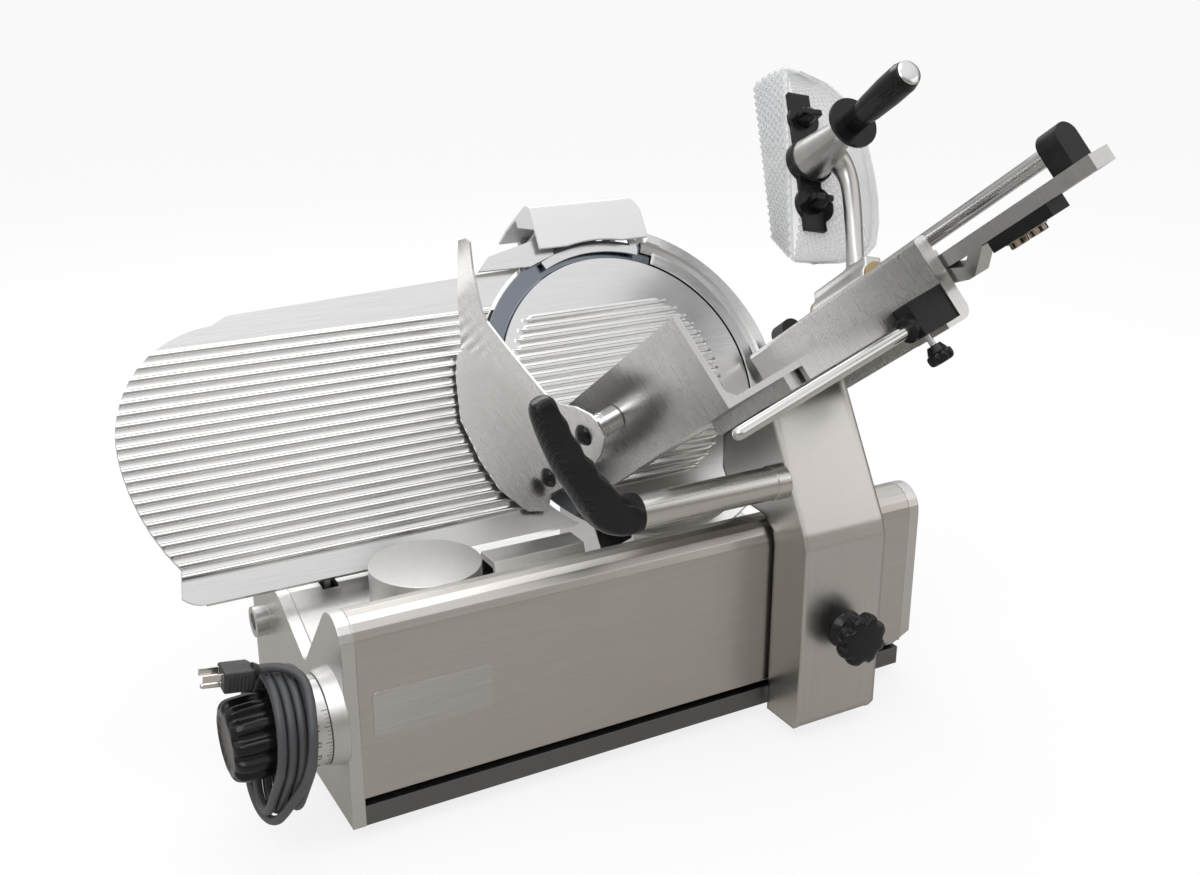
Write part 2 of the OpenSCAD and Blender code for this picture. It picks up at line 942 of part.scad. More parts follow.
module handle_grip() {
    end_x = arm_left - handle_len;
    color("black")
    difference() {
        union() {
            translate([end_x + 1, -247, handle_z])
                rotate([0, -90, 0])
                    cylinder(d = handle_d + 6, h = 28);
            hull() {
                translate([end_x - 27, -247, handle_z + 1]) sphere(d = handle_d + 6, $fn = 32);
                translate([end_x - 52, -245, handle_z + 36]) sphere(d = handle_d + 2, $fn = 32);
            }
            hull() {
                translate([end_x - 52, -245, handle_z + 36]) sphere(d = handle_d + 2, $fn = 32);
                translate([end_x - 90, -241, handle_z + 107]) sphere(d = handle_d - 4, $fn = 32);
            }
        }
        translate([end_x + 26, -247, handle_z])
            rotate([0, -90, 0])
                cylinder(d = handle_d, h = 26, $fn = 64);
    }
}

module food_tray() {
    color("gainsboro")
    tray_frame()
        difference() {
            union() {
                // Floor and left wall
                translate([0, 0, 10])
                    linear_extrude(tray_len)
                        polygon([[-tray_left, -tray_low], [-tray_left, tray_rim],
                            [-tray_left + tray_wall, tray_rim], [-tray_left + tray_wall, -tray_low + 14],
                            [-tray_left + tray_wall + 8, -tray_low + tray_wall],
                            [tray_right + 1, -tray_low + tray_wall], [tray_right + 1, -tray_low]]);
                // Right wall with its return lip
                translate([0, 0, 12])
                    linear_extrude(303)
                        polygon(concat(arc([tray_right + 11, -42], 4, 0, 90, 4),
                            arc([tray_right + 4, -42], 4, 90, 180, 4),
                            [[tray_right, -119]], [[tray_right + 3, -124]],
                            arc([tray_right + 3, -112], 12, 270, 360, 6)));
                translate([tray_right - 20, -124, 268])
                    cube([24, 5, 47]);
                // Apron under the near edge of the floor
                translate([-24, -98, 286])
                    cube([tray_right + 25, 15, 6]);
                // Mounting pad on the arm
                translate([-40, -tray_low - 14, 150])
                    cube([124, 14, 132]);
            }
            // Hole for the cross rod in the right wall
            translate([tray_right - 4, -106, 301])
                rotate([0, 90, 0])
                    cylinder(r = cross_rod_r + fit, h = 24);
        }
}

module fence_sheet() {
    color("gainsboro")
    tray_frame()
        difference() {
            union() {
                translate([-153, 0, 0])
                    rotate([0, -90, 180])
                        linear_extrude(2)
                            polygon([[4.5, -112], [54, -149], [101, -177], [118, -186], [130, -182],
                                [134, -176], [112, -157], [84, -123], [82, -112], [87, -89], [95, -58],
                                [106, -20], [120, -4], [142, 7], [158, 21], [162, 30], [160, 45],
                                [136, 56], [104, 62], [60, 62], [4.5, 58]]);
                translate([0, 0, 4.5])
                    linear_extrude(2)
                        polygon([[-151, 110], [-160, 110], [-173, 92], [-194, 50], [-199, 4], [-197, -30],
                            [-183, -62], [-164, -72], [-151, -58]]);
                // Spacers to the tray wall
                for (n = [128, 22])
                    translate([-151, n > 100 ? -32 : -44, n])
                        rotate([0, 90, 0])
                            cylinder(r = 11, h = 151 - tray_left);
            }
        }
}

module fence_caps() {
    color("black")
    tray_frame()
        for (n = [128, 22])
            translate([-153, n > 100 ? -32 : -44, n])
                rotate([0, -90, 0])
                    intersection() {
                        translate([0, 0, -5])
                            sphere(r = 12);
                        cylinder(r = 12, h = 8);
                    }
}

module rod_clamp() {
    color("black")
    tray_frame()
        difference() {
            union() {
                translate([tray_right - 46, -118.5, 293])
                    cube([46, 34, 20]);
                translate([tray_right - 52, -106, 301])
                    rotate([0, 90, 0])
                        cylinder(r = 12, h = 20);
            }
            translate([tray_right - 60, -106, 301])
                rotate([0, 90, 0])
                    cylinder(r = cross_rod_r + fit, h = 80);
            translate([tray_right - 34, -130, 301])
                rotate([-90, 0, 0])
                    cylinder(r = 3 + fit, h = 17.5);
        }
}

module cross_rod() {
    color("gray")
    tray_frame()
        translate([-124, -106, 301])
            rotate([0, 90, 0])
                union() {
                    cylinder(r = cross_rod_r, h = 256);
                    sphere(r = cross_rod_r);
                }
}

module thumb_screw() {
    color("black")
    tray_frame()
        translate([tray_right - 34, -112.5, 301])
            rotate([90, 0, 0])
                union() {
                    cylinder(r = 3, h = 20);
                    translate([0, 0, 17])
                        cylinder(r1 = 7, r2 = 10, h = 7);
                    translate([0, 0, 24])
                        lobed_knob(13, 8, 11, 4);
                }
}

module guide_beam() {
    color("silver")
    tray_frame() {
        translate([beam_h - 13, beam_t - 7, 20])
            cube([26, 14, 488]);
        // Raised end plate and the curved bracket to the tray
        translate([tray_right + 15, -90, 250])
            cube([8, 34, 60]);
        hull() {
            translate([beam_h - 13, -88, 300]) cube([20, 14, 8]);
            translate([beam_h - 13, -96, 330]) cube([20, 10, 8]);
        }
        hull() {
            translate([beam_h - 13, -96, 330]) cube([20, 10, 8]);
            translate([beam_h - 13, -77, 352]) cube([20, 6, 12]);
        }
    }
}

// Holds the two ends of the guide bar.
module guide_end_caps() {
    color("black")
    tray_frame()
        for (n = [30, 462])
            translate([guide_h, 0, n])
                difference() {
                    linear_extrude(24) {
                        translate([0, guide_t + 4]) circle(13);
                        translate([-13, beam_t + 7]) square([26, guide_t - beam_t - 3]);
                    }
                    // Blind bore that the bar turns in
                    translate([0, guide_t, n > 100 ? -1 : 4])
                        cylinder(r = guide_d / 2 + fit, h = 21);
                }
}

module guide_bar() {
    color("gainsboro")
    tray_frame()
        translate([guide_h, guide_t, 34 + gap])
            cylinder(d = guide_d, h = 448 - 2 * gap);
}

module stop_block() {
    color("black")
    tray_frame()
        union() {
            translate([beam_h - 14, beam_t - 19, 372])
                cube([24, 12, 76]);
            translate([beam_h - 2, beam_t - 19, 416])
                rotate([90, 0, 0])
                    cylinder(r = 9, h = 6, $fn = 6);
            translate([beam_h - 2, beam_t - 19, 392])
                rotate([90, 0, 0])
                    cylinder(r = 9, h = 6, $fn = 6);
        }
}

module pusher_carrier() {
    color("goldenrod")
    pusher_frame()
        difference() {
            union() {
                translate([0, 0, 108])
                    cylinder(r = bush_r, h = 104);
                for (n = [108, 208 + gap])
                    translate([0, 0, n])
                        cylinder(r = bush_r + 3, h = 4 - gap);
            }
            translate([0, 0, 100])
                cylinder(d = guide_d + 2 * fit, h = 120);
        }
}

module pusher_arm() {
    color("silver")
    pusher_frame() {
        difference() {
            union() {
                // Block that turns on the bushing
                translate([0, 0, 112])
                    cylinder(r = 15, h = 96);
                translate([-10, 0, 112])
                    cube([20, 22, 96]);
                hull() {
                    translate([-7, 20, pusher_n - 8]) cube([16, 4, 16]);
                    translate([-3, 100, pusher_n - 9]) cube([20, 4, 18]);
                }
                hull() {
                    translate([-3, 100, pusher_n - 9]) cube([20, 4, 18]);
                    translate([-4, 138, pusher_n - 9]) cube([14, 12, 18]);
                }
                hull() {
                    translate([-4, 136, pusher_n - 9]) cube([12, 14, 18]);
                    translate([pusher_x, pusher_y, pusher_n - 10]) cylinder(r = 12, h = 20);
                }
                translate([pusher_x, pusher_y, 156])
                    cylinder(r1 = 23, r2 = 17, h = 44);
                translate([pusher_x, pusher_y, 200])
                    cylinder(r = 14, h = 31);
            }
            translate([pusher_x, pusher_y, 150])
                cylinder(r = 6 + fit, h = 60);
            translate([0, 0, 100])
                cylinder(r = bush_r + fit, h = 120);
        }
    }
}

module guard_disc() {
    color("black")
    pusher_frame()
        translate([pusher_x, pusher_y, 231])
            cylinder(r = 27, h = 4, $fn = 64);
}

module pusher_handle() {
    color("black")
    pusher_frame()
        translate([pusher_x, pusher_y, 235])
            rotate_extrude($fn = 64)
                polygon([[0, 0], [12, 0], [12.5, 16], [14, 30], [pusher_handle_d / 2, 60],
                    [pusher_handle_d / 2, 84], [13.5, 92], [9, 94], [9, 92], [0, 92]]);
}

module mounting_plate() {
    color("black")
    pusher_frame()
        difference() {
            union() {
                translate([-36, 74, 146])
                    cube([26, 160, 6]);
                translate([pusher_x, 104, 146])
                    cylinder(r = 22, h = 6);
                translate([pusher_x, 204, 146])
                    cylinder(r = 18, h = 6);
                translate([pusher_x, pusher_y, 146])
                    cylinder(r = 26, h = 10);
                translate([pusher_x, pusher_y, 150])
                    cylinder(r = 6, h = 50);
            }
            for (y = [104, 204])
                translate([pusher_x, y, 130])
                    cylinder(r = 3 + fit, h = 40);
        }
}

module wing_knob(y) {
    pusher_frame()
        translate([pusher_x, y, 0])
            union() {
                translate([0, 0, 141])
                    cylinder(r = 3, h = 16);
                translate([0, 0, 152 + gap])
                    cylinder(r1 = 10, r2 = 8, h = 10);
                translate([-12, -3.5, 158])
                    cube([24, 7, 12]);
            }
}

module upper_wing_knob() {
    color("black") wing_knob(204);
}

module lower_wing_knob() {
    color("black") wing_knob(104);
}

module spike_plate() {
    color([0.85, 0.88, 0.9, 0.5])
    pusher_frame()
        difference() {
            union() {
                translate([-35, 48, 142])
                    cube([spike_plate_w, spike_plate_h, 4]);
                translate([-35, 48, 142])
                    rotate([0, 22, 0])
                        translate([0, 0, -40])
                            cube([4, spike_plate_h, 43]);
                for (i = [0:13], j = [0:2])
                    translate([-35, 60 + 15 * i, 142])
                        rotate([0, 22, 0])
                            translate([0.5, 0, -9 - 12 * j])
                                rotate([0, -90, 0])
                                    cylinder(r1 = 4.5, r2 = 0.5, h = 5, $fn = 4);
            }
            for (y = [104, 204])
                translate([pusher_x, y, 130])
                    cylinder(r = 3 + fit, h = 40);
        }
}

module cord_gland() {
    color("black")
    translate([-base_left + end_t, -70, 60])
        rotate([0, -90, 0])
            difference() {
                union() {
                    cylinder(r = 9, h = 12);
                    translate([0, 0, 12])
                        cylinder(r = 13, h = 7, $fn = 6);
                    translate([0, 0, 19])
                        cylinder(r1 = 10, r2 = cord_d / 2 + 1.2, h = 22);
                }
                translate([0, 0, -1])
                    cylinder(d = cord_d + 0.6, h = 44);
            }
}

// Points of the cord from the gland to the hank, chosen by hand.
cord_points = [[-408, -70, 60], [-424, -70, 60], [-438, -70, 60], [-450, -72, 59.6], [-460, -79, 58],
    [-467, -90, 55], [-469, -104, 51], [-466, -122, 46], [-459, -142, 41], [-453, -160, 38],
    [-451, -178.6, 37.5]];

// A point on a smooth curve through four points.
function on_curve(a, b, c, d, t) = 0.5 * (2 * b + (c - a) * t + (2 * a - 5 * b + 4 * c - d) * t * t
    + (3 * b - a - 3 * c + d) * t * t * t);

// A smooth path through the cord's points.
function smooth(p, steps) = let (last = len(p) - 1)
    concat([for (i = [0:last - 1], s = [0:steps - 1])
        on_curve(p[max(i - 1, 0)], p[i], p[i + 1], p[min(i + 2, last)], s / steps)], [p[last]]);

// A round tube along a path: one ring of points for each place.
module tube(path, d, sides) {
    count = len(path);
    rings = [for (i = [0:count - 1])
        let (ahead = path[min(i + 1, count - 1)] - path[max(i - 1, 0)],
            along = ahead / norm(ahead),
            side = cross(along, [0.05, 0.1, 1]),
            right = side / norm(side),
            up = cross(right, along))
            for (k = [0:sides - 1])
                path[i] + d / 2 * (cos(360 * k / sides) * right + sin(360 * k / sides) * up)];
    walls = [for (i = [0:count - 2], k = [0:sides - 1])
        let (a = i * sides + k, b = i * sides + (k + 1) % sides)
            [a, a + sides, b + sides, b]];
    ends = [[for (k = [0:sides - 1]) k],
        [for (k = [sides - 1:-1:0]) (count - 1) * sides + k]];
    polyhedron(points = rings, faces = concat(walls, ends), convexity = 6);
}

module power_cord() {
    color("dimgray")
        tube(smooth(cord_points, 5), cord_d, 10);
}

// Places the children on the wound cord, which leans outwards over the knob.
module hank_frame() {
    translate([-453, -knob_front, knob_z])
        rotate([0, 8, 0])
            children();
}

// The wound cord, as one ring.
module cord_hank() {
    color("dimgray")
    hank_frame()
        rotate([90, 0, 90])
            translate([0, 0, -hank_w / 2])
                linear_extrude(hank_w)
                    difference() {
                        hull() {
                            circle(dial_d / 2 + 16.5);
                            translate([0, -52]) circle(31.5);
                        }
                        circle(dial_d / 2 + 3.5);
                        hull() {
                            translate([0, -10]) circle(16);
                            translate([0, -52]) circle(20);
                        }
                    }
}

module cord_plug() {
    color("black")
    hank_frame()
        translate([-53.5, -12, dial_d / 2 + 5]) {
            soft_box([28, 24, 18], 5);
            for (y = [4, 18])
                translate([-14, y, 10])
                    cube([15, 1.8, 6]);
            translate([-16, 12, 4])
                rotate([0, 90, 0])
                    cylinder(r = 2.4, h = 17, $fn = 24);
            // Cord from the plug to the face of the hank
            translate([27, 12, 12])
                rotate([0, 90, 0])
                    cylinder(d = cord_d, h = 26.5 - hank_w / 2);
        }
}

placed() base_casting();
placed() front_cover();
placed() left_end_cap();
placed() right_end_cap();
placed() bottom_plate();
placed() guide_rail();
placed() slide_rod();
placed() rubber_feet();
placed() index_rod();
placed() blade_head();
placed() ring_guard();
placed() blade_spindle();
placed() blade_bearings();
placed() motor();
placed() motor_cover();
placed() drive_belt();
placed() slice_deflector();
placed() switch_box();
placed() cord_gland();
placed() power_cord();
placed() cord_hank();
placed() cord_plug();
placed() sharpener_base();
placed() blade_cover();
placed() cover_tie_knob();
placed() blade();
placed() blade_pulley();
placed() motor_pulley();
placed() gauge_plate();
placed() gauge_bracket();
placed() thickness_knob();
placed() dial_ring();
placed() cam_spindle();
placed() sharpener_cover();
placed() sharpening_stones();
placed() start_button();
placed() stop_button();
placed() carriage_arm();
placed() slide_block();
placed() handle_tube();
placed() handle_grip();
placed() food_tray();
placed() fence_sheet();
placed() fence_caps();
placed() rod_clamp();
placed() guide_beam();
placed() guide_end_caps();
placed() guide_bar();
placed() stop_block();
placed() cross_rod();
placed() thumb_screw();
placed() tray_lock_knob();
placed() pusher_carrier();
placed() pusher_arm();
placed() guard_disc();
placed() pusher_handle();
placed() mounting_plate();
placed() spike_plate();
placed() upper_wing_knob();
placed() lower_wing_knob();
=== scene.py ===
"""Visual model of a gravity-feed meat slicer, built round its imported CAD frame.

The row frame has X along the carriage travel, away from the operator, Y from the carriage side
to the side where the slices fall, and Z up. Blender's own values are metres. The sizes that the
helpers and finishes take are millimetres and their angles are degrees.
"""

import json
import logging
import math
from dataclasses import dataclass
from enum import Enum
from typing import Callable, Sequence

import bmesh
import bpy
from mathutils import Matrix, Vector

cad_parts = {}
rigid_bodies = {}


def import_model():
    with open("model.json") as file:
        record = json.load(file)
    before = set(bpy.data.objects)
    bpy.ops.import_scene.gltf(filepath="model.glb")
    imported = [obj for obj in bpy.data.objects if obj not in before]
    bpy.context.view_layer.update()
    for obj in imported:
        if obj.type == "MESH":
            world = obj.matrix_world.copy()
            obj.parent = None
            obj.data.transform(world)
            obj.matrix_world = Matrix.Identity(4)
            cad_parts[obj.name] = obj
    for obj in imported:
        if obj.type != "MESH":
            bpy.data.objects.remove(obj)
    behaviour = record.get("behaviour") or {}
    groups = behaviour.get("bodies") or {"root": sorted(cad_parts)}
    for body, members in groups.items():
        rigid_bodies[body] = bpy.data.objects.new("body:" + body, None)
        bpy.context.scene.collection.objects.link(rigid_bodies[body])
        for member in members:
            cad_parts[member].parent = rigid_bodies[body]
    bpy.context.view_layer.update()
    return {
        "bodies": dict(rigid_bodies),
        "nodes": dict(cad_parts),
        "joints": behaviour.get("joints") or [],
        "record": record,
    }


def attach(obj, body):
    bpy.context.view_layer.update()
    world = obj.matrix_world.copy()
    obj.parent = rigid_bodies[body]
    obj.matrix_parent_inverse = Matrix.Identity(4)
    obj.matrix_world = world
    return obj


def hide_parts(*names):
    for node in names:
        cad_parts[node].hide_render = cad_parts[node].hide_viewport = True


log = logging.getLogger("slicer")
Piece = bpy.types.Object
Place = tuple[float, float, float]
Colour = tuple[float, float, float]
Profile = Sequence[tuple[float, float]]
Surface = Callable[[float, float], tuple[Vector, Vector]]
MM = 0.001


# --- Frames of the tilted sub-assemblies --------------------------------------------------


def shift(x: float, y: float, z: float = 0.0) -> Matrix:
    """Returns a move."""
    return Matrix.Translation((x * MM, y * MM, z * MM))


def spin(angle: float, axis: str) -> Matrix:
    """Returns a turn about X, Y or Z."""
    return Matrix.Rotation(math.radians(angle), 4, axis)


BLADE_TILT = 35.0
TRAY_TURN = 17.0
PUSHER_PARK = 30.0
# Sizes are laid out from the bench straight below the blade's centre; ROW moves them so that
# the origin lies under the right front foot.
ROW = shift(-150, 180)
BLADE = ROW @ shift(0, 0, 285) @ spin(90 - BLADE_TILT, "X")
TRAY = BLADE @ spin(TRAY_TURN, "Z")
PUSHER = TRAY @ shift(180, -43) @ spin(-PUSHER_PARK, "Z")
KNOB = ROW @ shift(-408, -206, 112) @ spin(-90, "Y")
HANK = ROW @ shift(-453, -206, 112) @ spin(8, "Y")


# --- Shader maths -------------------------------------------------------------------------


def maths(operation: str, swapped: bool = False) -> Callable[..., "Value"]:
    """Makes a method of Value that adds a Math node.

    Args:
        operation: The node's operation.
        swapped: True where the other value comes first.

    Returns:
        The method.
    """
    def method(self: "Value", other: object = 0.0) -> "Value":
        """Returns the node's result."""
        first, second = (other, self) if swapped else (self, other)
        return self.tree.node("ShaderNodeMath", {"operation": operation}, {0: first, 1: second})
    return method


class Value:
    """A node output on which shader maths is written as plain expressions."""

    __add__ = maths("ADD")
    __radd__ = maths("ADD", True)
    __sub__ = maths("SUBTRACT")
    __rsub__ = maths("SUBTRACT", True)
    __mul__ = maths("MULTIPLY")
    __pow__ = maths("POWER")
    wave = maths("SINE")
    smallest = maths("MINIMUM")
    largest = maths("MAXIMUM")

    def __init__(self, tree: "Shader", socket: bpy.types.NodeSocket) -> None:
        """Keeps the socket and the shader that it belongs to."""
        self.tree = tree
        self.socket = socket

    def ramp(self, low: float, high: float, to_low: float = 0.0, to_high: float = 1.0) -> "Value":
        """Maps a range of self smoothly on another range.

        Args:
            low: Value of self at the start of the range.
            high: Value of self at its end.
            to_low: Result at and below low.
            to_high: Result at and above high.

        Returns:
            The mapped value.
        """
        return self.tree.node("ShaderNodeMapRange", {"interpolation_type": "SMOOTHSTEP"},
                              {0: self, 1: low, 2: high, 3: to_low, 4: to_high})


class Shader:
    """Node tree of a material or a world, with one shader at its end."""

    def __init__(self, name: str, world: bool = False) -> None:
        """Makes an empty tree.

        Args:
            name: Name of the material or world.
            world: True for a world with a Background shader instead of a material.
        """
        self.owner = (bpy.data.worlds if world else bpy.data.materials).new(name)
        self.owner.use_nodes = True
        self.nodes = self.owner.node_tree.nodes
        self.nodes.clear()
        self.end = self.nodes.new("ShaderNodeOutputWorld" if world else "ShaderNodeOutputMaterial")
        self.surface = self.nodes.new(
            "ShaderNodeBackground" if world else "ShaderNodeBsdfPrincipled")
        self.link(self.surface.outputs[0], self.end.inputs[0])

    def link(self, source: bpy.types.NodeSocket, target: bpy.types.NodeSocket) -> None:
        """Joins two sockets."""
        self.owner.node_tree.links.new(source, target)

    def put(self, target: bpy.types.NodeSocket, value: object) -> None:
        """Gives an input socket a link or a plain value.

        Args:
            target: The input socket.
            value: A Value, a number, or a colour or vector as a tuple.
        """
        if isinstance(value, Value):
            self.link(value.socket, target)
        elif isinstance(value, (tuple, list, Vector)) and len(target.default_value) == 4:
            target.default_value = (*value[:3], 1.0)
        else:
            target.default_value = value

    def node(self, kind: str, settings: dict[str, object] | None = None,
             values: dict[object, object] | None = None, output: object = 0) -> Value:
        """Adds any node.

        Args:
            kind: The node's type.
            settings: Its settings, such as a Math node's operation.
            values: Values or links of its inputs, by name or number.
            output: Name or number of the output to return.

        Returns:
            The chosen output.
        """
        made = self.nodes.new(kind)
        for key, setting in (settings or {}).items():
            setattr(made, key, setting)
        for key, value in (values or {}).items():
            self.put(made.inputs[key], value)
        return Value(self, made.outputs[output])

    def principled(self, **values: object) -> None:
        """Sets inputs of the Principled shader; an underscore in a name stands for a space."""
        for key, value in values.items():
            self.put(self.surface.inputs[key.replace("_", " ")], value)

    def place(self, frame: Matrix | None = None) -> Value:
        """Returns Object coordinates, turned into a sub-assembly's frame where one is given."""
        raw = self.node("ShaderNodeTexCoord", output="Object")
        if frame is None:
            return raw
        back = frame.inverted()
        return self.node("ShaderNodeMapping", None,
                         {"Vector": raw, "Location": back.to_translation(),
                          "Rotation": back.to_euler()})

    def stretch(self, vector: Value, scale: Sequence[float]) -> Value:
        """Returns a vector scaled along each axis."""
        return self.node("ShaderNodeVectorMath", {"operation": "MULTIPLY"},
                         {0: vector, 1: tuple(scale)})

    def parts(self, vector: Value) -> tuple[Value, Value, Value]:
        """Returns the X, Y and Z of a vector."""
        split = self.nodes.new("ShaderNodeSeparateXYZ")
        self.put(split.inputs[0], vector)
        return tuple(Value(self, out) for out in split.outputs)

    def noise(self, vector: Value, scale: float, detail: float = 2.0, rough: float = 0.5) -> Value:
        """Returns a noise from 0 to 1.

        Args:
            vector: Coordinates in metres.
            scale: Grains to the metre.
            detail: Octaves.
            rough: How strong the finer octaves are.

        Returns:
            The noise.
        """
        return self.node("ShaderNodeTexNoise", None,
                         {"Vector": vector, "Scale": scale, "Detail": detail, "Roughness": rough})

    def mix(self, factor: object, first: object, second: object) -> Value:
        """Returns a mix of two colours; factor is the share of the second."""
        return self.node("ShaderNodeMix", {"data_type": "RGBA"},
                         {0: factor, 6: first, 7: second}, 2)

    def relief(self, height: Value, depth: float, edge: float = 0.0) -> None:
        """Feeds a bump to the shader's Normal.

        Args:
            height: The pattern, from 0 to 1.
            depth: Height of the pattern.
            edge: Radius by which hard edges look rounded.
        """
        values: dict[object, object] = {"Height": height, "Distance": depth * MM, "Strength": 1.0}
        if edge > 0:
            values["Normal"] = self.rounded(edge)
        self.principled(Normal=self.node("ShaderNodeBump", None, values))

    def rounded(self, edge: float) -> Value:
        """Returns a normal that rounds hard edges by the given radius."""
        return self.node("ShaderNodeBevel", {"samples": 8}, {"Radius": edge * MM})


# --- Finishes -----------------------------------------------------------------------------


@dataclass(frozen=True)
class Finish:
    """Name and colour that all finishes have."""

    name: str
    colour: Colour

    def shade(self, share: float) -> Colour:
        """Returns the colour times a number."""
        return tuple(c * share for c in self.colour)

    def build(self) -> bpy.types.Material:
        """Returns the material."""
        raise NotImplementedError


class Grain(Enum):
    """Which way a metal is brushed."""

    ALONG_TRAVEL = (6.0, 420.0, 420.0)
    UPRIGHT = (420.0, 420.0, 6.0)
    ALONG_DEPTH = (420.0, 6.0, 420.0)
    CAST = (90.0, 90.0, 90.0)


@dataclass(frozen=True)
class BrushedMetal(Finish):
    """Brushed or blasted metal with fine lines, faint smudges and rounded edges."""

    roughness: float = 0.34
    grain: Grain = Grain.ALONG_TRAVEL
    depth: float = 0.02
    smudge: float = 0.05
    edge: float = 1.2
    frame: Matrix | None = None
    contrast: float = 0.10

    def build(self) -> bpy.types.Material:
        """Returns the material."""
        tree = Shader(self.name)
        at = tree.place(self.frame)
        lines = tree.noise(tree.stretch(at, self.grain.value), 2.2, 5.0, 0.62)
        cloud = tree.noise(at, 9.0, 3.0, 0.55)
        spots = tree.noise(at, 70.0, 2.0, 0.5)
        tone = tree.mix(lines.ramp(0.3, 0.72), self.shade(1 - self.contrast),
                        self.shade(1 + self.contrast / 2))
        tone = tree.mix(cloud.ramp(0.42, 0.7, 0.0, 0.22), tone, self.shade(0.9))
        rough = self.roughness + (lines - 0.5) * 0.10 + (cloud - 0.5) * (2 * self.smudge)
        rough += (spots - 0.5) * 0.03
        tree.principled(Base_Color=tone, Metallic=1.0, Roughness=rough)
        tree.relief(lines, self.depth, self.edge)
        return tree.owner


@dataclass(frozen=True)
class RibbedMetal(Finish):
    """Anodised metal with smooth waves pressed across it, in the blade's frame; the crests carry a
    painted highlight.
    """

    first: float
    last: float
    depth: float
    on_disc: bool = False
    pitch: float = 10.4
    disc_reach: tuple[float, float] = (131, 111)
    roughness: float = 0.25

    def build(self) -> bpy.types.Material:
        """Returns the material."""
        tree = Shader(self.name)
        at = tree.place(BLADE)
        x, y, _ = tree.parts(at)
        first, last, pitch = self.first * MM, self.last * MM, self.pitch * MM
        top = first + pitch / 2
        wave = ((y - first) * (2 * math.pi / pitch) + math.pi / 2).wave() * 0.5 + 0.5
        wave = wave * (y.ramp(top, top - MM) * y.ramp(last - MM, last))
        if self.on_disc:
            left, right = self.disc_reach
            reach = x.ramp(-0.01, 0.01, left * MM, right * MM)
            wave = wave * ((reach - (x * x + y * y) ** 0.5) * 200.0).ramp(0.0, 1.0)
        lines = tree.noise(tree.stretch(at, Grain.ALONG_TRAVEL.value), 2.2, 4.0, 0.6)
        cloud = tree.noise(at, 9.0, 3.0, 0.55)
        tone = tree.mix(lines.ramp(0.3, 0.7), self.shade(0.93), self.colour)
        # Painted highlight: the base colour is a little lighter on each wave's crest; the same wave
        # also drives the bump.
        tree.principled(Base_Color=tree.mix(wave * 0.25, tone, self.colour), Metallic=1.0,
                        Roughness=self.roughness + (lines - 0.5) * 0.08 + (cloud - 0.5) * 0.06)
        tree.relief(wave, self.depth)
        return tree.owner


@dataclass(frozen=True)
class TurnedMetal(Finish):
    """Metal turned on a lathe: fine rings round a frame's Z."""

    roughness: float
    frame: Matrix
    pitch: float = 0.6
    depth: float = 0.01
    edge: float = 0.8

    def build(self) -> bpy.types.Material:
        """Returns the material."""
        tree = Shader(self.name)
        at = tree.place(self.frame)
        x, y, z = tree.parts(at)
        rings = tree.node("ShaderNodeTexNoise", {"noise_dimensions": "1D"}, {
            "W": (x * x + y * y) ** 0.5 + z, "Scale": 1000.0 / self.pitch, "Detail": 3.0,
            "Roughness": 0.6})
        cloud = tree.noise(at, 14.0, 3.0)
        tone = tree.mix(rings.ramp(0.3, 0.7), self.shade(0.93), self.colour)
        tree.principled(Base_Color=tone, Metallic=1.0,
                        Roughness=self.roughness + (rings - 0.5) * 0.12 + (cloud - 0.5) * 0.06)
        tree.relief(rings, self.depth, self.edge)
        return tree.owner


@dataclass(frozen=True)
class PolishedMetal(Finish):
    """Polished or plated metal with faint wiping marks."""

    roughness: float = 0.12
    edge: float = 0.8

    def build(self) -> bpy.types.Material:
        """Returns the material."""
        tree = Shader(self.name)
        at = tree.place()
        wipes = tree.noise(tree.stretch(at, (30.0, 160.0, 90.0)), 0.7, 2.0, 0.5)
        haze = tree.noise(at, 24.0, 2.0)
        tone = tree.mix(haze.ramp(0.35, 0.7, 0.0, 0.5), self.colour, self.shade(0.92))
        tree.principled(Base_Color=tone,
                        Metallic=1.0, Roughness=self.roughness + wipes * 0.04 + haze * 0.05)
        if self.edge > 0:
            tree.principled(Normal=tree.rounded(self.edge))
        return tree.owner


@dataclass(frozen=True)
class Moulded(Finish):
    """Moulded plastic, rubber or enamel with a fine grain, wear and dust."""

    roughness: float
    coat: float = 0.0
    grain: float = 900.0
    depth: float = 0.03
    dust: float = 0.06
    edge: float = 1.0
    shine: float = 0.5
    pale: float = 0.35

    def build(self) -> bpy.types.Material:
        """Returns the material."""
        tree = Shader(self.name)
        at = tree.place()
        fine = tree.noise(at, self.grain, 2.0)
        broad = tree.noise(at, 26.0, 3.0, 0.6)
        dusty = tuple(c + max(self.pale - c, 0.0) * 0.25 for c in self.colour)
        tone = tree.mix(broad.ramp(0.5, 0.8, 0.0, self.dust), self.colour, dusty)
        tone = tree.mix(fine.ramp(0.35, 0.7, 0.0, 0.25), tone, self.shade(0.82))
        tree.principled(Base_Color=tone,
                        Roughness=self.roughness + (broad - 0.5) * 0.16 + (fine - 0.5) * 0.05,
                        Coat_Weight=self.coat, Coat_Roughness=0.08, Specular_IOR_Level=self.shine)
        tree.relief(fine, self.depth, self.edge)
        return tree.owner


@dataclass(frozen=True)
class ClearPlastic(Finish):
    """Clear moulded plastic, a little cloudy and paler where it is thick."""

    opacity: float = 0.16

    def build(self) -> bpy.types.Material:
        """Returns the material."""
        tree = Shader(self.name)
        cloud = tree.noise(tree.place(), 34.0, 3.0)
        rim = tree.node("ShaderNodeLayerWeight", None, {"Blend": 0.35}, "Facing")
        tree.principled(Base_Color=tree.mix(cloud, self.colour, self.shade(0.92)),
                        Roughness=0.09 + cloud * 0.07, IOR=1.49,
                        Alpha=(self.opacity + rim * 0.5 + cloud * 0.06).smallest(1.0))
        tree.relief(cloud, 0.04, 0.6)
        return tree.owner


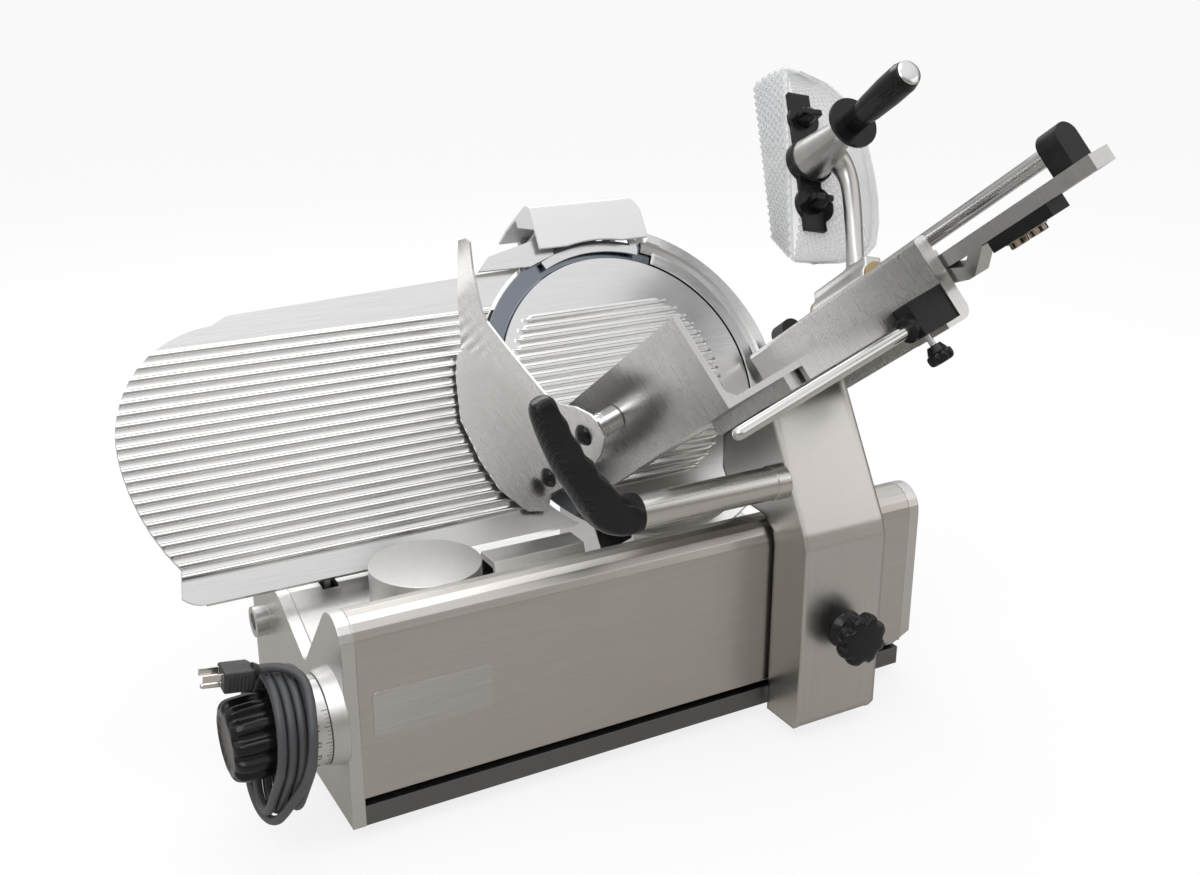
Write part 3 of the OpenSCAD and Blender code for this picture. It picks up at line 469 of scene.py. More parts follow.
@dataclass(frozen=True)
class KnurledPlastic(Finish):
    """Glossy black plastic with a diamond pattern cut into its back half."""

    pitch: float = 4.2

    def build(self) -> bpy.types.Material:
        """Returns the material."""
        tree = Shader(self.name)
        at = tree.place()
        x, y, z = tree.parts(at)
        turns = 2 * math.pi / (self.pitch * MM)
        rising = ((y * 0.9 + z * 0.62 + x * 0.2) * turns).wave()
        falling = ((y * 0.9 - z * 0.62 - x * 0.2) * turns).wave()
        mask = (x + z * 0.54).ramp(-0.1865, -0.1885) * z.ramp(0.268, 0.28)
        fine = tree.noise(at, 700.0, 2.0)
        broad = tree.noise(at, 30.0, 3.0)
        tone = tree.mix(broad.ramp(0.45, 0.8, 0.0, 0.3), self.colour, (0.02, 0.02, 0.021))
        tree.principled(Base_Color=tone,
                        Roughness=0.17 + broad * 0.12 + mask * 0.1, Specular_IOR_Level=0.3)
        tree.relief(rising.largest(falling).ramp(0.2, 0.98, 1.0, 0.0) * mask + fine * 0.02, 1.1)
        return tree.owner


@dataclass(frozen=True)
class PaleFloor(Finish):
    """Pale floor that keeps the shadow and looks like the pale background."""

    def build(self) -> bpy.types.Material:
        """Returns the material."""
        tree = Shader(self.name)
        ray, shine, clear = (tree.node("ShaderNodeLightPath", output=f"Is {kind} Ray")
                             for kind in ("Camera", "Glossy", "Transmission"))
        tree.principled(Base_Color=self.colour, Roughness=0.9)
        tone = tree.mix(shine, (1.0, 1.0, 1.0), (0.36, 0.335, 0.305))
        glow = tree.node("ShaderNodeEmission", None, {"Color": tone, "Strength": 1.0})
        share = ((ray + clear) * 0.82 + shine * 0.8).smallest(1.0)
        mixed = tree.node("ShaderNodeMixShader", None,
                          {0: share, 1: Value(tree, tree.surface.outputs[0]), 2: glow})
        tree.link(mixed.socket, tree.end.inputs[0])
        return tree.owner


def gloss_black(name: str) -> Moulded:
    """Returns the glossy black of the knobs and grips."""
    return Moulded(name, (0.008, 0.008, 0.009), 0.18, dust=0.08, edge=1.2, shine=0.3)


# --- Modelling steps ----------------------------------------------------------------------


class Bench:
    """Steps of modelling by hand that the sub-assemblies share."""

    @staticmethod
    def take(*pieces: Piece) -> None:
        """Selects only the given objects, the first one active."""
        bpy.ops.object.select_all(action="DESELECT")
        for piece in pieces:
            piece.select_set(True)
        if pieces:
            bpy.context.view_layer.objects.active = pieces[0]

    @classmethod
    def edit(cls, piece: Piece) -> None:
        """Enters edit mode with everything selected."""
        cls.take(piece)
        bpy.ops.object.mode_set(mode="EDIT")
        bpy.ops.mesh.select_all(action="SELECT")

    @staticmethod
    def leave() -> None:
        """Leaves edit mode."""
        bpy.ops.object.mode_set(mode="OBJECT")

    @classmethod
    def close(cls) -> None:
        """Turns the normals outwards and leaves edit mode."""
        bpy.ops.mesh.select_all(action="SELECT")
        bpy.ops.mesh.normals_make_consistent(inside=False)
        cls.leave()

    @classmethod
    def fresh(cls, name: str) -> Piece:
        """Names the object that a primitive operator has just added and applies its place."""
        piece = bpy.context.object
        piece.name = piece.data.name = name
        cls.take(piece)
        bpy.ops.object.transform_apply(location=True, rotation=True, scale=True)
        return piece

    @classmethod
    def put(cls, piece: Piece, frame: Matrix) -> Piece:
        """Moves a piece into a frame and applies its place."""
        cls.take(piece)
        piece.matrix_world = frame @ piece.matrix_world
        bpy.ops.object.transform_apply(location=True, rotation=True, scale=True)
        return piece

    @classmethod
    def box(cls, name: str, low: Place, high: Place) -> Piece:
        """Adds a box between its lowest and its highest corner."""
        cls.take()
        low, high = Vector(low) * MM, Vector(high) * MM
        bpy.ops.mesh.primitive_cube_add(size=1.0, location=(low + high) / 2, scale=high - low)
        return cls.fresh(name)

    @classmethod
    def turned(cls, name: str, profile: Profile, sides: int = 64) -> Piece:
        """Turns a profile round Z by extruding and resizing one ring of edges.

        Args:
            name: The new object's name.
            profile: Radius and height of each ring; a last radius of 0 closes it in a point.
            sides: Number of sides.

        Returns:
            The turned object.
        """
        cls.take()
        rings = [(radius * MM, height * MM) for radius, height in profile]
        radius, height = rings[0]
        bpy.ops.mesh.primitive_circle_add(vertices=sides, radius=radius, location=(0, 0, height))
        piece = cls.fresh(name)
        cls.edit(piece)
        for next_radius, next_height in rings[1:]:
            bpy.ops.mesh.extrude_edges_move(
                TRANSFORM_OT_translate={"value": (0, 0, next_height - height)})
            if next_radius == 0:
                bpy.ops.mesh.merge(type="CENTER")
                break
            grow = next_radius / radius
            bpy.ops.transform.resize(value=(grow, grow, 1), center_override=(0, 0, next_height))
            radius, height = next_radius, next_height
        else:
            bpy.ops.mesh.edge_face_add()
        bpy.ops.mesh.select_all(action="DESELECT")
        bpy.ops.mesh.select_non_manifold()
        bpy.ops.mesh.edge_face_add()
        cls.close()
        return piece

    @classmethod
    def lobed(cls, name: str, profile: Profile, lobes: int, depth: float, span: tuple[float, float],
              steps: int = 8) -> Piece:
        """Turns a profile, presses flutes into it and rounds it.

        Args:
            name: The new object's name.
            profile: Radius and height of each ring.
            lobes: Number of flutes.
            depth: Share of the radius that a flute takes.
            span: Heights between which the flutes run.
            steps: Sides to each flute.

        Returns:
            The knob.
        """
        piece = cls.turned(name, profile, lobes * steps)
        low, high = span[0] * MM - 1e-6, span[1] * MM + 1e-6
        for inner, share in ((0.75, depth * 0.45), (0.2, depth * 0.35), (-0.3, depth * 0.2)):
            cls.pick(piece, lambda at, inner=inner: low <= at.z <= high and at.xy.length > 1e-6
                     and math.cos(lobes * math.atan2(at.y, at.x)) > inner)
            bpy.ops.transform.resize(value=(1 - share, 1 - share, 1), center_override=(0, 0, 0))
            cls.leave()
        return cls.subdivide(piece, 1)

    @classmethod
    def swept(cls, name: str, rows: Sequence[Sequence[float]], steps: int, sides: int,
              shape: Callable[[float, float, float], tuple[float, float]] | None = None) -> Piece:
        """Extrudes a ring along a smooth path in the XZ plane.

        Args:
            name: The new object's name.
            rows: X, Z, half width in the path's plane and half width along Y of places on the path.
            steps: Stations to each stretch between two of them.
            sides: Number of sides of the ring.
            shape: Takes the length along the path in metres and a point of the unit ring, and
                returns the point that stands for it, for a section that isn't round.

        Returns:
            The swept object, closed at both ends.
        """
        line = flow([Vector(row) * MM for row in rows], steps)
        cls.take()
        bpy.ops.mesh.primitive_circle_add(vertices=sides, radius=1.0)
        piece = cls.fresh(name)
        cls.edit(piece)
        stations = [cls._station(line, k) for k in range(len(line))]
        before = Matrix.Identity(4)
        for number, station in enumerate(stations):
            if number:
                bpy.ops.mesh.extrude_edges_move()
            mesh = bmesh.from_edit_mesh(piece.data)
            bmesh.ops.transform(mesh, matrix=station @ before.inverted(),
                                verts=[v for v in mesh.verts if v.select])
            bmesh.update_edit_mesh(piece.data)
            before = station
        cls.leave()
        along = 0.0
        for k, station in enumerate(stations if shape else ()):
            along += (line[k].xy - line[max(k - 1, 0)].xy).length
            for vertex in piece.data.vertices[k * sides:(k + 1) * sides]:
                flat = station.inverted() @ vertex.co
                vertex.co = station @ Vector((*shape(along, flat.x, flat.y), 0.0))
        cls.edit(piece)
        for _ in range(2):
            bpy.ops.mesh.select_all(action="DESELECT")
            bpy.ops.mesh.select_non_manifold()
            bpy.ops.mesh.edge_face_add()
        cls.close()
        return piece

    @staticmethod
    def _station(line: Sequence[Vector], k: int) -> Matrix:
        """Returns the matrix that takes a unit ring to a station of a swept path."""
        step = line[min(k + 1, len(line) - 1)] - line[max(k - 1, 0)]
        along = Vector((step[0], 0, step[1])).normalized()
        turn = Vector((0, 0, 1)).rotation_difference(along).to_matrix().to_4x4()
        size = Matrix.Diagonal((line[k][2], line[k][3], 1.0, 1.0))
        return Matrix.Translation((line[k][0], 0, line[k][1])) @ turn @ size

    @classmethod
    def grid(cls, name: str, columns: int, rows: int) -> Piece:
        """Adds a flat grid whose X and Y run from 0 to 1."""
        cls.take()
        bpy.ops.mesh.primitive_grid_add(x_subdivisions=columns, y_subdivisions=rows, size=1.0,
                                        location=(0.5, 0.5, 0))
        return cls.fresh(name)

    @staticmethod
    def lay(piece: Piece, surface: Surface) -> None:
        """Lays a flat piece over a surface.

        Args:
            piece: The piece; X and Y of its points are shares across and along the surface.
            surface: Gives the place and the normal at two shares.
        """
        for vertex in piece.data.vertices:
            place, out = surface(vertex.co.x, vertex.co.y)
            vertex.co = place + out * vertex.co.z

    @classmethod
    def sheet(cls, grid: Piece, surface: Surface, thick: float, rim: float,
              segments: int = 2) -> Piece:
        """Lays a grid over a surface, thickens it both ways and rounds its rim."""
        cls.lay(grid, surface)
        cls.modify(grid, "SOLIDIFY", thickness=thick * MM, offset=0.0)
        return cls.soften(grid, rim, segments)

    @classmethod
    def pick(cls, piece: Piece, wanted: Callable[[Vector], bool]) -> None:
        """Enters edit mode with the vertices selected whose place is wanted."""
        cls.take(piece)
        bpy.ops.object.mode_set(mode="EDIT")
        bpy.ops.mesh.select_mode(type="VERT")
        bpy.ops.mesh.select_all(action="DESELECT")
        mesh = bmesh.from_edit_mesh(piece.data)
        for vertex in mesh.verts:
            vertex.select_set(wanted(vertex.co))
        mesh.select_flush(True)
        bmesh.update_edit_mesh(piece.data)

    @classmethod
    def modify(cls, piece: Piece, kind: str, **settings: object) -> Piece:
        """Adds a modifier, sets it and applies it.

        Args:
            piece: The object.
            kind: The modifier's type.
            **settings: The modifier's settings.

        Returns:
            The same object.
        """
        cls.take(piece)
        made = piece.modifiers.new(kind.title(), kind)
        for key, value in settings.items():
            setattr(made, key, value)
        bpy.ops.object.modifier_apply(modifier=made.name)
        return piece

    @classmethod
    def array(cls, piece: Piece, count: int, x: float, y: float = 0.0) -> Piece:
        """Repeats a piece, each time moved by X and Y in metres."""
        return cls.modify(piece, "ARRAY", count=count, use_relative_offset=False,
                          use_constant_offset=True,
                          constant_offset_displace=(x, y, 0))

    @classmethod
    def soften(cls, piece: Piece, width: float, segments: int = 2, angle: float = 30.0) -> Piece:
        """Bevels edges sharper than an angle, and shades the piece smooth.

        Args:
            piece: The object.
            width: Width of the bevel.
            segments: Its segments.
            angle: The angle.

        Returns:
            The same object.
        """
        cls.modify(piece, "BEVEL", width=width * MM, segments=segments, limit_method="ANGLE",
                   angle_limit=math.radians(angle), harden_normals=False)
        return cls.smooth(piece)

    @classmethod
    def smooth(cls, piece: Piece, angle: float = 40.0) -> Piece:
        """Shades a piece smooth where its edges are blunter than an angle."""
        cls.take(piece)
        bpy.ops.object.shade_smooth_by_angle(angle=math.radians(angle))
        return piece

    @classmethod
    def subdivide(cls, piece: Piece, levels: int) -> Piece:
        """Rounds a piece with an applied Subdivision Surface."""
        cls.modify(piece, "SUBSURF", levels=levels, render_levels=levels)
        return cls.smooth(piece, 60.0)

    @classmethod
    def copies(cls, piece: Piece, frames: Sequence[Matrix]) -> list[Piece]:
        """Returns copies of a piece, each with its own mesh, and deletes the pattern."""
        made = []
        for frame in frames:
            twin = piece.copy()
            twin.data = piece.data.copy()
            bpy.context.collection.objects.link(twin)
            made.append(cls.put(twin, frame))
        bpy.data.objects.remove(piece)
        return made

    @classmethod
    def join(cls, name: str, pieces: Sequence[Piece]) -> Piece:
        """Joins pieces into one object with that name."""
        cls.take(*pieces)
        bpy.ops.object.join()
        joined = bpy.context.object
        joined.name = joined.data.name = name
        return joined

    @classmethod
    def lettering(cls, text: str, height: float, thick: float) -> Piece:
        """Returns plain figures as a mesh that lies in the XY plane, centred."""
        cls.take()
        bpy.ops.object.text_add()
        made = bpy.context.object.data
        made.body = text
        made.size, made.extrude = height * MM, thick * MM
        made.align_x = made.align_y = "CENTER"
        made.resolution_u = 3
        bpy.ops.object.convert(target="MESH")
        return bpy.context.object


def flow(points: Sequence[Vector], steps: int) -> list[Vector]:
    """Returns points on a smooth curve through the given points.

    Args:
        points: Points of any dimension.
        steps: Points to each stretch between two of them.

    Returns:
        The curve's points.
    """
    last = len(points) - 1
    line = []
    for i in range(last):
        a, b = points[max(i - 1, 0)], points[i]
        c, d = points[i + 1], points[min(i + 2, last)]
        for t in (k / steps for k in range(steps)):
            line.append(0.5 * (2 * b + (c - a) * t + (2 * a - 5 * b + 4 * c - d) * t * t
                               + (3 * b - a - 3 * c + d) * t ** 3))
    return line + [points[-1]]


def ease(share: float) -> float:
    """Returns a share that starts and ends softly, and stays between 0 and 1."""
    share = min(max(share, 0.0), 1.0)
    return share * share * (3 - 2 * share)


def dress(finish: Finish, *pieces: Piece) -> None:
    """Builds a finish and gives it to every material slot of the pieces."""
    material = finish.build()
    for piece in pieces:
        if not piece.data.materials:
            piece.data.materials.append(material)
        for slot in piece.material_slots:
            slot.link = "OBJECT"
            slot.material = material


def mount(piece: Piece, body: str, slot: str, *nodes: str) -> Piece:
    """Lets a piece ride on a body, in place of the nodes that it hides."""
    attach(piece, body)
    if nodes:
        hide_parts(*nodes)
    log.info("%s rides on %s", piece.name, body)
    return piece


# --- Camera, floor and light --------------------------------------------------------------


@dataclass(frozen=True)
class SoftLamp:
    """One area lamp that looks at the machine; places and sizes are metres."""

    name: str
    place: Place
    size: tuple[float, float]
    watts: float
    colour: Colour = (1.0, 1.0, 1.0)
    target: Place = (0.0, -0.08, 0.22)

    def build(self) -> None:
        """Adds the lamp."""
        Bench.take()
        bpy.ops.object.light_add(type="AREA", location=ROW @ Vector(self.place))
        lamp = bpy.context.object
        lamp.name = self.name
        lamp.data.shape = "RECTANGLE"
        lamp.data.size, lamp.data.size_y = self.size
        lamp.data.energy = self.watts
        lamp.data.color = self.colour
        aim = ROW @ Vector(self.target) - lamp.location
        lamp.rotation_euler = aim.to_track_quat("-Z", "Y").to_euler()


@dataclass
class Studio:
    """Plain pale floor, soft studio light and the camera at the photograph's angle, in metres."""

    camera_place: Place = (-0.704, -1.199, 0.723)
    camera_tilt: float = 70.26
    camera_turn: float = -29.08
    lens: float = 41.2
    sensor: float = 36.0
    floor: float = 80.0
    lamps: tuple[SoftLamp, ...] = (
        SoftLamp("key_lamp", (-1.5, -1.3, 2.1), (1.5, 1.5), 17.0),
        SoftLamp("fill_lamp", (1.9, -1.6, 1.2), (1.6, 1.2), 5.0, (1.0, 0.97, 0.94)),
        SoftLamp("rim_lamp", (0.3, 1.9, 1.8), (2.2, 0.7), 14.0),
        SoftLamp("top_lamp", (0.0, -0.2, 2.4), (1.4, 1.0), 9.0))

    def camera(self) -> None:
        """Adds the camera and makes it the scene's camera."""
        Bench.take()
        turn = (math.radians(self.camera_tilt), 0.0, math.radians(self.camera_turn))
        bpy.ops.object.camera_add(location=ROW @ Vector(self.camera_place), rotation=turn)
        made = bpy.context.object
        made.name = "camera"
        made.data.lens = self.lens
        made.data.sensor_fit = "HORIZONTAL"
        made.data.sensor_width = self.sensor
        made.data.clip_end = 200.0
        bpy.context.scene.camera = made

    def build(self) -> None:
        """Adds the floor, the sky and the lamps."""
        Bench.take()
        bpy.ops.mesh.primitive_plane_add(size=self.floor, location=(0, 0, 0))
        plane = Bench.fresh("floor")
        dress(PaleFloor("pale_floor", (0.86, 0.86, 0.86)), plane)
        bpy.context.scene.world = self.sky()
        bpy.context.scene.view_settings.view_transform = "Standard"
        for lamp in self.lamps:
            lamp.build()
        log.info("floor, sky and %d lamps", len(self.lamps))

    @staticmethod
    def sky() -> bpy.types.World:
        """Returns a white background whose reflections are a soft room, darker in front."""
        tree = Shader("studio_sky", world=True)
        x, y, z = tree.parts(tree.node("ShaderNodeTexCoord", output="Generated"))
        camera, clear = (tree.node("ShaderNodeLightPath", output=f"Is {kind} Ray")
                         for kind in ("Camera", "Transmission"))
        front = (0 - y).ramp(0.15, 0.85) * z.ramp(0.75, 0.2)
        side = x.ramp(0.35, 0.9) * z.ramp(0.6, 0.2)
        room = tree.mix(z.ramp(0.0, 0.8), (0.46, 0.455, 0.45), (0.98, 0.98, 0.99))
        room = tree.mix(front, room, (0.30, 0.28, 0.255))
        room = tree.mix(side * 0.8, room, (0.16, 0.145, 0.13))
        colour = tree.mix((camera + clear).smallest(1.0), room, (1.0, 1.0, 1.0))
        tree.put(tree.surface.inputs["Color"], colour)
        return tree.owner


# --- Power cord ---------------------------------------------------------------------------


@dataclass
class PowerCord:
    """The cord, from its gland along the end cap into the loops on the knob, and its plug."""

    thick: float = 8 * MM
    step: float = 4 * MM
    top_radius: float = 48.5 * MM
    low_radius: float = 27 * MM
    drop: float = 44 * MM
    pitch: float = 8.4 * MM
    first_across: float = 13.2 * MM
    start: float = math.radians(285)
    mark: float = 0.03
    marks: int = 145
    outer_from: float = 3.6
    outer_lift: float = 8.8 * MM
    back_from: float = 3.85
    back_slide: float = 25 * MM
    route: Sequence[Place] = (
        (-408, -70, 60), (-424, -70, 60), (-438, -70, 60), (-450, -72, 59.6), (-460, -79, 58),
        (-468, -90, 55.2), (-471, -104, 51.4), (-468, -122, 46.6), (-461, -142, 42.4),
        (-455.4, -158, 40.6), (-452, -174, 39.8), (-450.5, -190, 39.5), (-450.2, -200, 39.7))
    tail: Sequence[Place] = (
        (8.6, -44.8, 33.4), (9, -38.9, 40.3), (9, -32, 46.2), (8.7, -24.2, 51), (6.4, -16.2, 54.5),
        (1.5, -8.9, 56.6), (-5.7, -3.4, 57.3), (-13.2, -0.6, 57.2), (-20.2, 0, 56.9),
        (-28, 0, 56.2), (-35, 0, 55.6), (-41, 0, 55.5))

    def winding(self, turns: float) -> Vector:
        """Gives a place on the winding, in the hank's frame.

        The cord runs in two arcs and two straights, from the low arc at the front. After its
        inner layer it climbs to an outer one, which slides back over it.

        Args:
            turns: Turns from the winding's start.

        Returns:
            The place.
        """
        across = self.first_across - self.pitch * min(turns, self.outer_from)
        across += self.back_slide * ease((turns - self.back_from) / 0.5)
        lift = self.outer_lift * ease((turns - self.outer_from) / 0.3)
        lean = math.asin((self.top_radius - self.low_radius) / self.drop)
        straight = self.drop * math.cos(lean)
        top = self.top_radius * (math.pi + 2 * lean)
        low = self.low_radius * (math.pi - 2 * lean)
        left, right = math.pi + lean, -lean
        along = (turns % 1.0) * (top + low + 2 * straight)
        # Radius and height of the arc, angle where the leg starts, length, climb of a straight
        legs = ((self.low_radius, -self.drop, self.start, (self.start - left) * self.low_radius, 0),
                (self.low_radius, -self.drop, left, straight, 1),
                (self.top_radius, 0.0, left, top, 0),
                (self.top_radius, 0.0, right, straight, -1),
                (self.low_radius, -self.drop, right, math.inf, 0))
        for radius, height, angle, length, climb in legs:
            if along < length:
                break
            along -= length
        if not climb:
            angle -= along / radius
        at = Vector((across, (radius + lift) * math.cos(angle),
                     height + (radius + lift) * math.sin(angle)))
        return at + Vector((0, -math.sin(lean), climb * math.cos(lean))) * (along * abs(climb))

    def line(self) -> list[Vector]:
        """Returns the cord's middle line in the row frame, its points a step apart."""
        points = [ROW @ (Vector(p) * MM) for p in self.route]
        points += [HANK @ self.winding(self.mark * k) for k in range(1, self.marks + 1)]
        points += [HANK @ (Vector(p) * MM) for p in self.tail]
        points = flow(points, 10)
        line, left = [points[0]], self.step
        for a, b in zip(points, points[1:]):
            gone, span = 0.0, (b - a).length
            while span - gone >= left:
                gone += left
                line.append(a.lerp(b, gone / span))
                left = self.step
            left -= span - gone
        return line

    def build(self) -> list[Piece]:
        """Returns:
            The cord and the plug.
        """
        line = self.line()
        data = bpy.data.curves.new("mains_cord", "CURVE")
        data.dimensions = "3D"
        data.bevel_depth = self.thick / 2
        data.bevel_resolution = 5
        spline = data.splines.new("POLY")
        spline.points.add(len(line) - 1)
        for knot, place in zip(spline.points, line):
            knot.co = (*place, 1.0)
        spline.use_smooth = True
        lead = bpy.data.objects.new("mains_cord", data)
        bpy.context.collection.objects.link(lead)
        plug = self.plug()
        dress(Moulded("cord_sheath", (0.060, 0.062, 0.066), 0.42, grain=500.0, depth=0.04,
                      dust=0.25, edge=0.0), lead)
        mount(lead, "base", "cord_rubber", "power_cord", "cord_hank")
        mount(plug, "base", "black_plastic", "cord_plug")
        return [lead, plug]

    @staticmethod
    def plug() -> Piece:
        """Returns the plug, with grip ribs on its sides and metal pins."""
        body = Bench.box("plug_body", (-53.5, -12, 43.5), (-30, 12, 61.5))
        Bench.pick(body, lambda at: at.x > -31 * MM)
        bpy.ops.mesh.extrude_region_move(TRANSFORM_OT_translate={"value": (3 * MM, 0, 0)})
        bpy.ops.transform.resize(value=(1, 0.62, 0.72), center_override=(-27 * MM, 0, 54.5 * MM))
        Bench.close()
        Bench.soften(body, 3.2, 5)
        rib = Bench.box("plug_rib", (-50.5, -12.7, 46), (-49, 12.7, 59))
        Bench.soften(Bench.array(rib, 6, 3 * MM), 0.5)
        boot = Bench.turned("plug_boot",
                            [(7.5, 0), (6.8, 2), (6.3, 2.2), (6.2, 3.2), (5.4, 4.5)], 32)
        Bench.put(boot, shift(-28, 0, 55.5) @ spin(90, "Y"))
        pins = [Bench.box("plug_pin", (-69.5, side - 0.8, 53.5), (-52.5, side + 0.8, 59.8))
                for side in (-7.1, 7.1)]
        for pin in pins:
            Bench.soften(pin, 0.5)
        earth = Bench.turned("plug_earth", [(2.4, 0), (2.4, 15), (1.9, 16.4), (1.0, 17)], 24)
        Bench.put(earth, shift(-52.5, 0, 47.5) @ spin(-90, "Y"))
        dress(Moulded("plug_rubber", (0.022, 0.022, 0.024), 0.38, dust=0.2), body, rib, boot)
        dress(PolishedMetal("plug_metal", (0.72, 0.70, 0.66), 0.18), *pins, earth)
        return Bench.put(Bench.join("mains_plug", [body, rib, boot, *pins, earth]), HANK)


# --- Thickness knob and dial --------------------------------------------------------------


@dataclass
class IndexKnob:
    """Fluted thickness knob with its graduated ring."""

    radius: float = 37
    base: float = 36.4
    length: float = 56
    flutes: int = 12
    dial_radius: float = 38.5
    dial_low: float = 14.4
    steps: int = 16
    sweep: float = 330.0

    def build(self) -> list[Piece]:
        """Adds the knob and the ring's marks.

        Returns:
            The new pieces.
        """
        return [self.knob(), self.marks()]

    def knob(self) -> Piece:
        """Returns the knob with rounded ridges and a dished face."""
        r, z, top = self.radius, self.base, self.base + self.length
        profile = [(24, z - 0.4), (24, z + 2), (r - 6, z + 3.2), (r - 2.6, z + 4.4), (r - 1.2, z + 8),
                   (r - 0.8, z + 26), (r - 1.2, top - 10), (r - 2.4, top - 5), (r - 5.5, top - 1.6),
                   (r - 9, top - 0.3), (r - 12, top), (r - 14, top - 0.6), (r - 16, top - 2),
                   (4, top - 2.4), (0.0, top - 2.4)]
        piece = Bench.lobed("thickness_grip", profile, self.flutes, 0.13, (z + 3, top - 1.0), 10)
        dress(gloss_black("knob_gloss"), piece)
        return mount(Bench.put(piece, KNOB), "index_knob", "black_plastic", "thickness_knob")

    def marks(self) -> Piece:
        """Returns the ring's ticks and its plain figures."""
        r, z = self.dial_radius, self.dial_low
        whole = [self.sweep / self.steps * k for k in range(self.steps)]
        fine = [self.sweep / self.steps * (k + j / 4)
                for k in range(self.steps - 1) for j in (1, 2, 3)]
        pieces = []
        for half, high, angles in ((0.28, 5.5, whole), (0.18, 3.5, fine)):
            tick = Bench.box("tick", (r - 0.2, -half, z + 0.5), (r + 0.06, half, z + high))
            pieces += Bench.copies(tick, [spin(angle, "Z") for angle in angles])
        for k, angle in enumerate(whole):
            upright = spin(angle, "Z") @ shift(r, 0, z + 11.5) @ spin(90, "Y") @ spin(90, "Z")
            pieces.append(Bench.put(Bench.lettering(str(k), 6.4, 0.15), upright))
        joined = Bench.join("dial_marks", pieces)
        dress(Moulded("dial_paint", (0.02, 0.02, 0.022), 0.5), joined)
        return mount(Bench.put(joined, KNOB), "index_knob", "black_plastic")


# --- Base ---------------------------------------------------------------------------------


@dataclass
class Base:
    """Bare plate on the front cover, and the ring guard's lip."""

    plate_low: Place = (-384, -236.6, 98)
    plate_high: Place = (-276, -235.8, 140)
    lip_span: tuple[float, float] = (-106.0, 63.0)
    lip_radii: tuple[float, float] = (145.5 * MM, 160 * MM)
    lip_rise: float = 2.2 * MM

    def build(self) -> list[Piece]:
        """Adds the bare plate and the ring guard's lip.

        Returns:
            The new pieces.
        """
        return [self.bare_plate(), self.guard_lip()]

    def bare_plate(self) -> Piece:
        """Returns the thin plate with round corners."""
        plate = Bench.box("bare_plate", self.plate_low, self.plate_high)
        Bench.take(plate)
        bpy.ops.object.mode_set(mode="EDIT")
        mesh = bmesh.from_edit_mesh(plate.data)
        for edge in mesh.edges:
            edge.select_set(abs(edge.verts[0].co.y - edge.verts[1].co.y) > 0.3 * MM)
        bmesh.update_edit_mesh(plate.data)
        bpy.ops.mesh.bevel(offset=5 * MM, segments=6)
        Bench.close()
        Bench.soften(plate, 0.2)
        dress(BrushedMetal("plate_satin", (0.66, 0.655, 0.64), 0.36, depth=0.006, edge=0.0), plate)
        return mount(Bench.put(plate, ROW), "base", "cover_sheet")

    def lip(self, across: float, along: float) -> tuple[Vector, Vector]:
        """Gives the place and the normal on the ring guard's lip at two shares."""
        turn = math.radians(self.lip_span[0] + (self.lip_span[1] - self.lip_span[0]) * along)
        radius = self.lip_radii[0] + (self.lip_radii[1] - self.lip_radii[0]) * across
        rise = self.lip_rise + 0.9 * MM * across * across
        return Vector((radius * math.cos(turn), radius * math.sin(turn), rise)), Vector((0, 0, 1))

    def guard_lip(self) -> Piece:
        """Returns the thin inner lip that the ring guard lays over the blade's right side."""
        lip = Bench.sheet(Bench.grid("guard_lip", 4, 110), self.lip, 1.0, 0.3)
        dress(BrushedMetal("lip_polish", (0.72, 0.72, 0.715), 0.24, depth=0.003, smudge=0.03,
                           edge=0.0, frame=BLADE, contrast=0.05), lip)
        return mount(Bench.put(lip, BLADE), "base", "polished_steel")


# --- Carriage -----------------------------------------------------------------------------


@dataclass
class HandleGrip:
    """Black grip that turns from the handle's tube up into a grip with hollows for the fingers."""

    hollow: float = 0.15
    hollow_pitch: float = 24.5 * MM
    hollow_from: float = 58 * MM
    hollow_to: float = 156 * MM
    collar: float = 12 * MM
    stations: Sequence[Sequence[float]] = (
        (-137, 0, 18.0, 18.2), (-146, 0.3, 18.6, 18.8), (-155, 1.5, 18.8, 19.0),
        (-163, 5, 18.8, 19.4), (-171, 11, 18.8, 19.8), (-178, 20, 18.4, 20.0),
        (-184, 29, 17.8, 19.4), (-190, 38, 17.2, 18.6), (-195, 46, 16.8, 18.0),
        (-200, 53, 16.4, 17.4), (-207.7, 66.5, 15.8, 16.4), (-215, 81, 15.0, 15.6),
        (-221, 94, 14.2, 14.8), (-226, 106, 13.2, 13.6), (-229.5, 114, 11.4, 11.6),
        (-231.5, 119, 7.5, 7.5))

    def build(self) -> list[Piece]:
        """Adds the grip.

        Returns:
            The grip.
        """
        piece = Bench.swept("finger_grip", self.stations, 3, 32, self.section)
        Bench.modify(piece, "BEVEL", width=2.2 * MM, segments=3, limit_method="ANGLE",
                     angle_limit=math.radians(60))
        Bench.subdivide(piece, 1)
        Bench.put(piece, ROW @ shift(0, -247, 256))
        dress(KnurledPlastic("grip_gloss", (0.008, 0.008, 0.009)), piece)
        return [mount(piece, "carriage", "black_plastic", "handle_grip")]

    def section(self, along: float, x: float, y: float) -> tuple[float, float]:
        """Gives the grip's section: flat at the front and hollowed for the fingers at one side.

        Args:
            along: Length along the grip from its collar, in metres.
            x: Across the unit ring, towards the fingers.
            y: Across the unit ring, away from the front.

        Returns:
            The point in place of x and y.
        """
        if along < self.collar:
            return x, y
        if y < -0.62:
            y = -0.78 + (y + 0.78) * 0.2
        if x > 0 and self.hollow_from < along < self.hollow_to:
            turn = 2 * math.pi * (along - self.hollow_from) / self.hollow_pitch
            x *= 1 - self.hollow * (0.5 - 0.5 * math.cos(turn))
        return x, y


